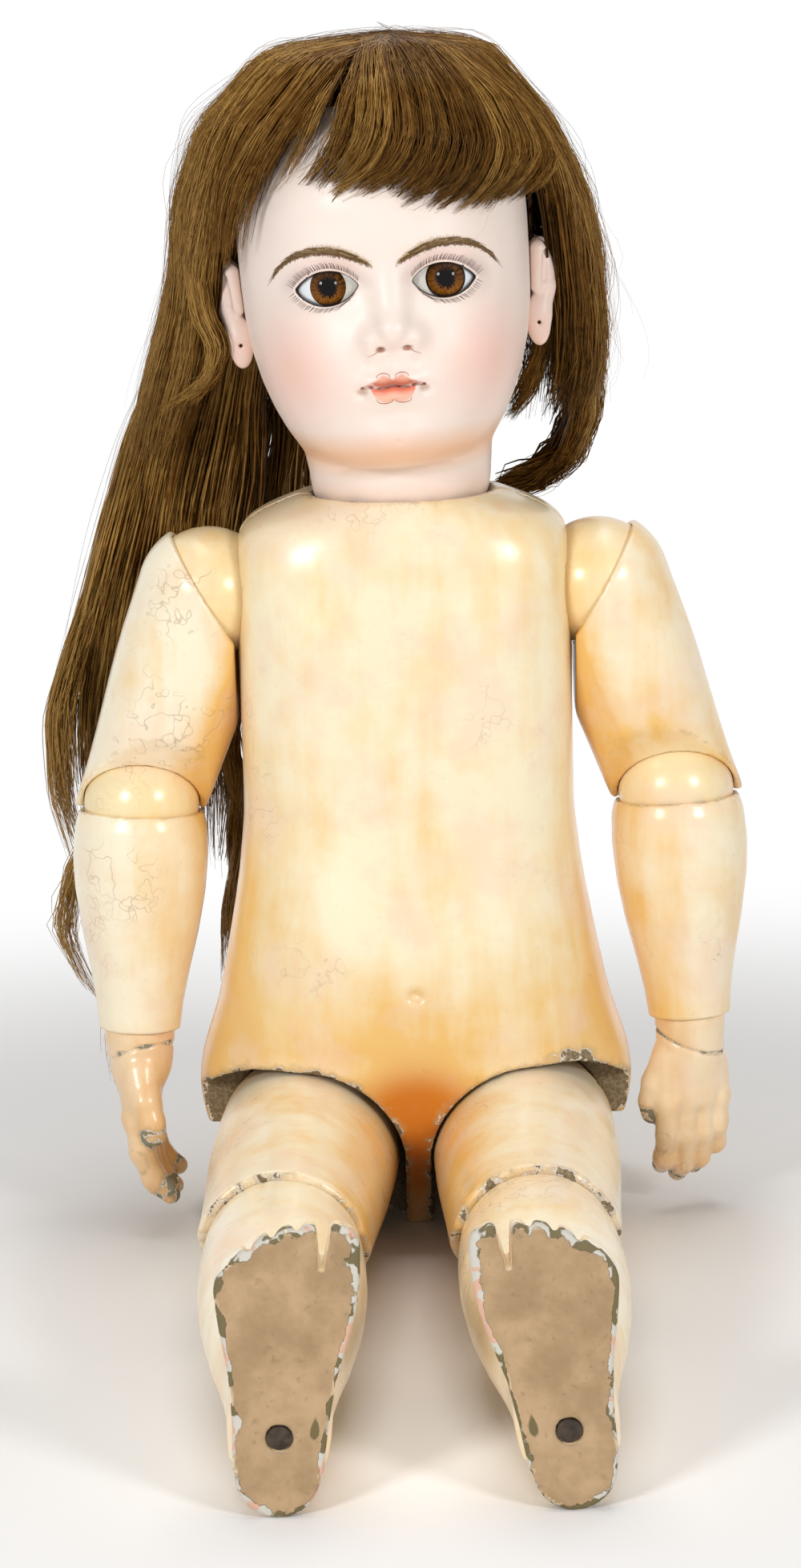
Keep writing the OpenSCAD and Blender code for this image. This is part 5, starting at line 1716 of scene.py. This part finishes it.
def tubes(name, P, tone, radius, material, slim=0.75):
    """One piece of three-sided tubes along the strands, with each strand's tone on its points."""
    count, points = P.shape[:2]
    t = np.linspace(0, 1, points)
    along = unit(np.gradient(P, axis=1))
    side = unit(np.cross(along, outwards(P)))
    rise = np.cross(side, along)
    r = (radius * rng.uniform(0.7, 1.2, count))[:, None, None] * (1 - slim * t**3)[None, :, None]
    ring = [P + r * (math.cos(a) * side + math.sin(a) * rise) for a in np.radians([90, 210, 330])]
    V = np.stack(ring, 2).reshape(-1, 3)
    first = (np.arange(count)[:, None] * points + np.arange(points - 1)[None, :]).ravel() * 3
    F = np.concatenate([
        np.stack([first + a, first + b, first + 3 + b, first + 3 + a], -1)
        for a, b in ((0, 1), (1, 2), (2, 0))
    ])
    marks = {"tone": np.repeat(tone, points * 3), "along": np.tile(np.repeat(t, 3), count)}
    piece = mesh_object(name, V, F, marks)
    piece.data.materials.append(material)
    return piece


# %% Hair material
def hair_finish():
    """Brown hair, darker where its tone is low, and darker at the roots as painted shade."""
    made, tree, shader = new_tree_material("brown hair")
    tone = marked(tree, "tone")
    streak = noisy(tree, own_place(tree), 260, 2.0)
    tone = maths(tree, "ADD", tone, ramped(tree, streak, 0.3, 0.7, -0.10, 0.10))
    # Painted shade at the roots
    tone = maths(tree, "SUBTRACT", tone, ramped(tree, marked(tree, "along"), 0.02, 0.16, 0.28, 0.0))
    colour = blended(tree, ramped(tree, tone, -0.15, 0.35), (0.030, 0.011, 0.0015), (0.17, 0.072, 0.011))
    colour = blended(tree, ramped(tree, tone, 0.38, 0.92), colour, (0.42, 0.235, 0.06))
    tree.links.new(colour, shader.inputs["Base Color"])
    shader.inputs["Roughness"].default_value = 0.38
    shader.inputs["Specular IOR Level"].default_value = 0.28
    shader.inputs["Specular Tint"].default_value = (1.0, 0.72, 0.40, 1)
    return made


brown_hair = hair_finish()


# %% Wig cap
HAIRLINE_Y = [-60, -40, -25, 0, 30, 70]
HAIRLINE_Z = [427, 423, 406, 374, 332, 318]
CAP_INSIDE, CAP_OUTSIDE, CAP_STEP = 0.6, 2.4, 2.0


def cap_field(P):
    """A thin shell over the head, above the hairline."""
    head = oval_stack(P, HEAD_ROWS)
    shell = np.maximum(head - CAP_OUTSIDE, CAP_INSIDE - head)
    return np.maximum(shell, np.interp(P[..., 1], HAIRLINE_Y, HAIRLINE_Z) - P[..., 2])


V, F = grow(cap_field, (-58, -62, 312), (58, 70, 442), CAP_STEP, relax=2)
# A low tone darkens the cap as painted shade under the hair
marks = {"tone": -0.05 + 0.15 * grain(V, np.array([3, 3, 14]), 6), "along": np.zeros(len(V))}
dress(mesh_object("wig_cap", leaned(V), F, marks), brown_hair, "head", "brown_hair", "wig_crown")

# %% Guides over the head
# From the crown, towards the doll's left side, the back, and the doll's right side
RIGHT_OF_VIEW = [
    [CROWN, (34, -30, 436), (56, -32, 412), (66, -22, 395), (69, -8, 378), (69, 4, 358), (69, 12, 335),
     (68, 18, 314), (63, 24, 297)],
    [CROWN, (41, -12, 439), (63, -10, 411), (74, 2, 386), (79, 10, 358), (79, 18, 332), (76, 24, 310),
     (69, 30, 292)],
    [CROWN, (40, 8, 440), (63, 14, 413), (75, 20, 386), (80.5, 26, 355), (80, 32, 330), (76, 38, 308),
     (67, 42, 290)],
    [CROWN, (31, 28, 440), (53, 40, 413), (63, 48, 386), (67, 52, 355), (67, 54, 330), (65, 54, 308),
     (60, 54, 292)],
]
BACK = [
    RIGHT_OF_VIEW[-1],
    [CROWN, (15, 42, 438), (26, 62, 413), (32, 72, 386), (34, 76, 355), (34, 76, 330), (32, 74, 305),
     (30, 71, 285)],
    [CROWN, (-10, 44, 438), (-14, 66, 413), (-16, 76, 386), (-16, 79, 355), (-17, 79, 330),
     (-18, 77, 305), (-20, 73, 285)],
    [CROWN, (-33, 34, 439), (-53, 48, 413), (-63, 56, 386), (-69, 58, 355), (-75, 58, 330),
     (-81, 56, 308), (-85, 54, 290)],
]
LEFT_OF_VIEW = [
    BACK[-1],
    [CROWN, (-36, 12, 442), (-64, 18, 417), (-75, 24, 390), (-81, 28, 360), (-90, 32, 335),
     (-98, 36, 312), (-105, 38, 292)],
    [CROWN, (-36, -8, 441), (-64, -6, 415), (-74, 4, 388), (-79, 12, 360), (-87, 18, 335),
     (-95, 22, 312), (-101, 26, 292)],
    [CROWN, (-27, -28, 439), (-50, -32, 417), (-61, -24, 394), (-67, -10, 372), (-71, 2, 350),
     (-77, 10, 328), (-84, 16, 308), (-90, 22, 292)],
]
TEMPLE = [
    [CROWN, (-27, -28, 440), (-51, -32, 418), (-61, -24, 397), (-64, -16, 380), (-66, -8, 364),
     (-67, -2, 352)],
    [CROWN, (-20, -36, 439), (-43, -42, 416), (-55, -34, 397), (-59, -26, 380), (-61, -20, 366),
     (-62, -15, 355)],
    [CROWN, (-14, -40, 438), (-34, -49, 417), (-47, -44, 399), (-53, -37, 384), (-55, -33, 371),
     (-57, -29, 360)],
    [CROWN, (-8, -42, 438), (-26, -53, 420), (-40, -50, 404), (-47, -44, 389), (-50, -40, 377),
     (-52, -37, 367)],
]
EAR_CURL = [
    [(-63, 6, 386), (-69, -2, 366), (-67, -6, 348), (-63, -5, 338), (-66, -2, 327), (-77, 3, 319),
     (-88, 8, 316)],
    [(-66, 8, 386), (-73, 1, 366), (-72, -2, 348), (-67, -1, 337), (-70, 2, 325), (-80, 7, 316),
     (-90, 12, 312)],
]


def on_brow(x, z, lift):
    """Point in front of the forehead."""
    rows = np.array(HEAD_ROWS)
    w, front = np.interp(z, rows[:, 0], rows[:, 1]) + lift, np.interp(z, rows[:, 0], rows[:, 2]) + lift
    return (x, -front * max(0.02, 1 - (abs(x) / w) ** HEAD_SQUARE) ** (1 / HEAD_SQUARE), z)


# Fringe: three points over the crown, then the sweep to the tip
WISPS = [
    [CROWN, (-9, -36, 438), (-24, -52, 422), on_brow(-35, 408, 4), on_brow(-41, 396, 3),
     on_brow(-45, 384, 2.2)],
    [CROWN, (-8, -36, 438), (-20, -53, 423), on_brow(-29, 409, 4), on_brow(-36, 397, 3),
     on_brow(-42, 388, 2.2)],
    [CROWN, (-6, -36, 439), (-14, -54, 424), on_brow(-21, 410, 5), on_brow(-29, 399, 3.5),
     on_brow(-37, 391, 2.5)],
]
FRINGE = [
    [CROWN, (-4, -36, 441), (-11, -55, 425), on_brow(-17, 410, 7), on_brow(-24, 399, 5),
     on_brow(-31, 392, 3)],
    [CROWN, (4, -36, 441), (4, -55, 425), on_brow(2, 410, 8), on_brow(-6, 398, 6), on_brow(-20, 390, 4)],
    [CROWN, (12, -36, 441), (18, -55, 425), on_brow(20, 409, 8), on_brow(13, 396, 7), on_brow(-4, 389, 5)],
    [CROWN, (19, -35, 441), (29, -53, 425), on_brow(34, 407, 8), on_brow(28, 393, 7), on_brow(12, 384, 5)],
    [CROWN, (25, -33, 440), (40, -48, 423), (47, -49, 404), on_brow(41, 391, 7), on_brow(27, 382, 5)],
    [CROWN, (30, -29, 439), (50, -41, 421), (59, -40, 401), on_brow(52, 390, 8), on_brow(41, 382.5, 5)],
    [CROWN, (34, -25, 438), (56, -34, 417), (67, -28, 398), (64, -27, 390), on_brow(54, 385.5, 6)],
]

# %% Hair over the head
HEAD_SHEETS = [
    (
        "hair_right_of_view", RIGHT_OF_VIEW, 1300,
        dict(depth=9, wave=2.0, fuzz=0.8, scatter=5, swing=1.5, bright=0.06),
    ),
    ("hair_back", BACK, 1000, dict(depth=8, wave=2.0, fuzz=0.7, scatter=5, ragged=0.22)),
    (
        "hair_left_of_view", LEFT_OF_VIEW, 1600,
        dict(depth=10, wave=3.0, fuzz=1.1, clumps=18, scatter=5, turns=(1, 2.4), swing=2.5, bright=0.2),
    ),
    ("hair_temple", TEMPLE, 460, dict(depth=4, wave=1.6, ragged=0.35, clumps=5, gather=0.9, scatter=5)),
    (
        "hair_ear_curl", EAR_CURL, 170,
        dict(depth=5, wave=1.8, fuzz=0.8, ragged=0.3, clumps=6, gather=0.5, bright=0.3),
    ),
    (
        "hair_wisps", WISPS, 90,
        dict(depth=3, wave=1.0, ragged=0.35, clumps=3, gather=0.9, scatter=5, bright=0.1),
    ),
    (
        "hair_fringe", FRINGE, 1500,
        dict(depth=5, wave=1.3, fuzz=0.6, ragged=0.16, clumps=5, gather=0.6, scatter=6),
    ),
]
FILL_SHARE, FILL_R = 0.2, 0.75
# Inner fill strands are sunk and darkened as painted shade inside the thick sheets
FILL_DEPTH, FILL_DARK = 2.5, 0.3
LONG_FILL_DEPTH, LONG_FILL_DARK = 2, 0.25
for name, guides, count, form in HEAD_SHEETS:
    P, tone = sheet(guides, count, **form)
    piece = tubes(name, leaned(P), tone, STRAND_R, brown_hair)
    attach(piece, "head")
    # Dark inner strands as painted shade inside the sheet
    if form["depth"] > 5 or name == "hair_fringe":
        P, tone = sheet(guides, int(count * FILL_SHARE), points=12, **{**form, "gather": 0.8, "ragged": 0.2})
        P = leaned(P - FILL_DEPTH * outwards(P))
        inner = tubes(name + "_inner", P, tone - FILL_DARK, FILL_R, brown_hair)
        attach(inner, "head")
    print(name, count, "strands")

# %% Hair below the head
LONG_SIDE = [
    [(-76, 30, 356), (-90, 34, 326), (-104, 37, 298), (-114, 38, 268), (-126, 40, 229), (-134, 40, 200),
     (-135, 38, 172), (-130, 36, 142)],
    [(-72, 32, 356), (-84, 36, 326), (-95, 40, 298), (-103, 42, 268), (-113, 44, 229), (-120, 44, 195),
     (-123, 42, 160), (-122, 40, 125)],
    [(-66, 34, 356), (-76, 40, 326), (-85, 44, 298), (-92, 46, 268), (-99, 48, 229), (-104, 48, 195),
     (-104, 46, 160), (-101, 44, 122)],
    [(-60, 36, 356), (-68, 42, 326), (-74, 46, 298), (-80, 48, 268), (-84, 50, 229), (-84, 50, 195),
     (-82, 48, 160), (-79, 46, 120)],
    [(-52, 40, 356), (-57, 46, 326), (-60, 52, 298), (-62, 54, 268), (-65, 56, 229), (-68, 56, 195),
     (-70, 54, 160), (-72, 50, 118)],
]
OUTER_LOOP = [
    [(-117, 38, 250), (-130, 38, 218), (-139, 36, 190), (-138, 34, 158), (-130, 32, 128)],
    [(-111, 42, 250), (-124, 42, 218), (-133, 40, 190), (-133, 38, 158), (-124, 36, 128)],
]
ARM_LOOP = [
    [(-110, 42, 205), (-117, 40, 172), (-125, 37, 148), (-134, 33, 130), (-139, 30, 108), (-129, 28, 86),
     (-115, 28, 72)],
    [(-106, 44, 205), (-113, 42, 172), (-120, 39, 148), (-129, 35, 128), (-135, 31, 106), (-125, 28, 82),
     (-111, 28, 68)],
]
HAND_LOOP = [
    [(-104, 46, 190), (-108, 42, 150), (-111, 37, 116), (-119, 31, 80), (-122, 28, 52), (-112, 24, 32),
     (-99, 22, 23)],
    [(-100, 46, 190), (-104, 43, 150), (-107, 39, 114), (-114, 33, 78), (-117, 29, 50), (-108, 25, 34),
     (-96, 23, 27)],
]
GAP_LOCKS = [
    [(-60, 52, 230), (-64, 50, 195), (-73, 48, 165), (-66, 46, 140), (-73, 44, 110), (-76, 42, 84),
     (-79, 40, 58)],
    [(-66, 52, 230), (-74, 50, 195), (-65, 48, 165), (-73, 46, 140), (-68, 44, 110), (-73, 42, 84),
     (-77, 40, 66)],
]
SHORT_SIDE = [
    [(68, 24, 340), (73, 27, 318), (73, 30, 301), (67, 35, 287), (56, 42, 279), (44, 47, 276),
     (36, 50, 275)],
    [(74, 34, 340), (77, 36, 318), (76, 38, 301), (70, 42, 285), (58, 47, 274), (46, 51, 269),
     (37, 54, 267)],
    [(66, 42, 340), (69, 44, 318), (68, 46, 301), (62, 50, 288), (52, 54, 280), (44, 57, 276),
     (37, 60, 274)],
]
NECK_WISP = [
    [(56, 16, 345), (53, 20, 326), (47, 24, 312), (41, 28, 303), (37, 32, 298)],
    [(60, 20, 345), (57, 24, 326), (52, 28, 312), (46, 32, 302), (41, 36, 296)],
]
BACK_FALL = [
    [(36, 52, 356), (36, 66, 326), (34, 70, 292), (31, 68, 250), (27, 65, 200), (24, 62, 150),
     (20, 60, 112)],
    [(5, 56, 356), (5, 72, 326), (4, 76, 292), (2, 72, 250), (-2, 68, 200), (-4, 64, 150), (-6, 62, 102)],
    [(-25, 56, 356), (-25, 72, 326), (-27, 76, 292), (-30, 72, 250), (-33, 67, 200), (-36, 63, 150),
     (-36, 61, 100)],
    [(-56, 46, 356), (-58, 60, 326), (-60, 64, 292), (-61, 63, 250), (-60, 62, 200), (-56, 61, 150),
     (-50, 60, 112)],
]
WAVY = dict(turns=(2.2, 4.0), bright=0.60, swing=6.5, points=24)
LOOP = dict(depth=6, wave=3.6, fuzz=3.2, ragged=0.4, clumps=7, gather=0.0, bright=0.58, turns=(1, 2.6))
LONG_SHEETS = [
    (
        "long_side_hair", LONG_SIDE, 1400,
        dict(depth=10, wave=3.0, fuzz=1.6, ragged=0.35, clumps=7, **WAVY), "right_hair_length",
    ),
    ("outer_loop", OUTER_LOOP, 240, LOOP, None),
    ("arm_loop", ARM_LOOP, 110, LOOP, None),
    ("hand_loop", HAND_LOOP, 80, LOOP, None),
    ("gap_locks", GAP_LOCKS, 300, dict(depth=5, wave=2.4, fuzz=1.4, ragged=0.35, clumps=4, **WAVY), None),
    (
        "short_side_hair", SHORT_SIDE, 760,
        dict(depth=7, wave=1.6, fuzz=0.8, ragged=0.16, clumps=8, bright=0.2), "left_hair_length",
    ),
    ("neck_wisp", NECK_WISP, 140, dict(depth=4, wave=1.2, ragged=0.3, clumps=4, bright=0.1), None),
    (
        "back_fall", BACK_FALL, 900, dict(depth=7, wave=2.8, fuzz=1.2, ragged=0.25, clumps=9, **WAVY),
        "back_hair_length",
    ),
]
for name, guides, count, form, stands_for in LONG_SHEETS:
    P, tone = sheet(guides, count, **form)
    piece = tubes(name, P, tone, STRAND_R, brown_hair)
    pieces = [piece]
    if stands_for:
        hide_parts(stands_for)
        # Dark inner strands as painted shade inside the long sheets
        P, tone = sheet(guides, int(count * FILL_SHARE), **{**form, "points": 14, "gather": 0.85})
        P = P - LONG_FILL_DEPTH * outwards(P)
        pieces.append(tubes(name + "_inner", P, tone - LONG_FILL_DARK, FILL_R, brown_hair))
    for piece in pieces:
        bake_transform(piece)
    print(name, count, "strands")

# %% [markdown]
# ## Flyaway hair
# Old hair frays. Single loose hairs, much finer than the strands, stand off the outline in wide arcs.

# %% Flyaways
FLYAWAY_R, LOOSE_R = 0.065, 0.13
FLYAWAY = dict(depth=-3, wave=4, fuzz=4, ragged=0.3, clumps=40, gather=0, turns=(1, 3), points=28)
LOOSE = dict(
    depth=1, wave=2.6, fuzz=2.2, ragged=0.3, clumps=40, gather=0, turns=(1, 3), points=24, bright=0.42
)
for name, guides, count, form, radius in [
    ("flyaway_right_of_view", RIGHT_OF_VIEW[:3], 40, FLYAWAY, FLYAWAY_R),
    ("flyaway_left_of_view", LEFT_OF_VIEW, 60, FLYAWAY, FLYAWAY_R),
    ("flyaway_fringe", FRINGE, 40, FLYAWAY, FLYAWAY_R),
    ("flyaway_long", LONG_SIDE[:3], 60, FLYAWAY, FLYAWAY_R),
    ("loose_right_of_view", RIGHT_OF_VIEW, 160, LOOSE, LOOSE_R),
    ("loose_left_of_view", LEFT_OF_VIEW, 260, LOOSE, LOOSE_R),
    ("loose_long", LONG_SIDE, 260, LOOSE, LOOSE_R),
]:
    P, tone = sheet(guides, count, **form)
    on_head = "long" not in name
    piece = tubes(name, leaned(P) if on_head else P, tone, radius, brown_hair)
    if on_head:
        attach(piece, "head")
    else:
        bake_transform(piece)

# %% [markdown]
# ## Inner parts
# The balls, the heel plugs and everything inside keep their CAD solids and only get materials.


# %% Plain finishes
def plain_finish(name, dark, light, scale, rough, stretch=None, metal=0.0):
    """Two mixed tones and a rough surface."""
    made, tree, shader = new_tree_material(name)
    here = own_place(tree, stretch)
    mixed = noisy(tree, here, scale, 4.0, 0.6)
    colour = blended(tree, ramped(tree, mixed, 0.32, 0.68), dark, light)
    tree.links.new(colour, shader.inputs["Base Color"])
    tree.links.new(ramped(tree, mixed, 0.3, 0.7, rough - 0.08, rough + 0.08), shader.inputs["Roughness"])
    shader.inputs["Metallic"].default_value = metal
    return made


bare_wood = plain_finish("bare wood", (0.33, 0.19, 0.085), (0.55, 0.37, 0.19), 1.0, 0.62, (60, 700, 700))
dark_iron = plain_finish("dark iron", (0.030, 0.022, 0.016), (0.085, 0.060, 0.042), 300, 0.55, metal=0.4)
elastic = plain_finish("white elastic", (0.55, 0.50, 0.42), (0.78, 0.74, 0.66), 900, 0.8)
plaster = plain_finish("plaster", (0.66, 0.62, 0.55), (0.82, 0.79, 0.73), 120, 0.9)
cork = plain_finish("cork", (0.30, 0.17, 0.08), (0.52, 0.33, 0.17), 260, 0.85)
KEPT_SOLIDS = [
    (ball_paint, [part + "_ball" for part in ("shoulder", "elbow", "hip", "knee")], True),
    (dark_iron, ["heel_plug"], True),
    (dark_iron, ["neck_hook", "neck_spring", "neck_nut"], False),
    (elastic, ["leg_elastic", "arm_cord", "wrist_cord", "thigh_cord"], True),
    (elastic, ["arm_elastic"], False),
    (bare_wood, ["neck_ring", "crossbar", "neck_button"], False),
    (plaster, ["eye_plaster"], False),
    (cork, ["cork_pate"], False),
]
for finish, names, sided in KEPT_SOLIDS:
    full = [f"{side}_{name}" for side in SIDES for name in names] if sided else names
    for name in full:
        for slot in frame["nodes"][name].material_slots:
            slot.material = finish
    print(finish.name, "on", len(full), "solids")

# %% [markdown]
# ## Size
# The box around everything dressed is printed.

# %% Print the size
low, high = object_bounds()
print("visual box", [round(1000 * (b - a)) for a, b in zip(low, high)], "mm")
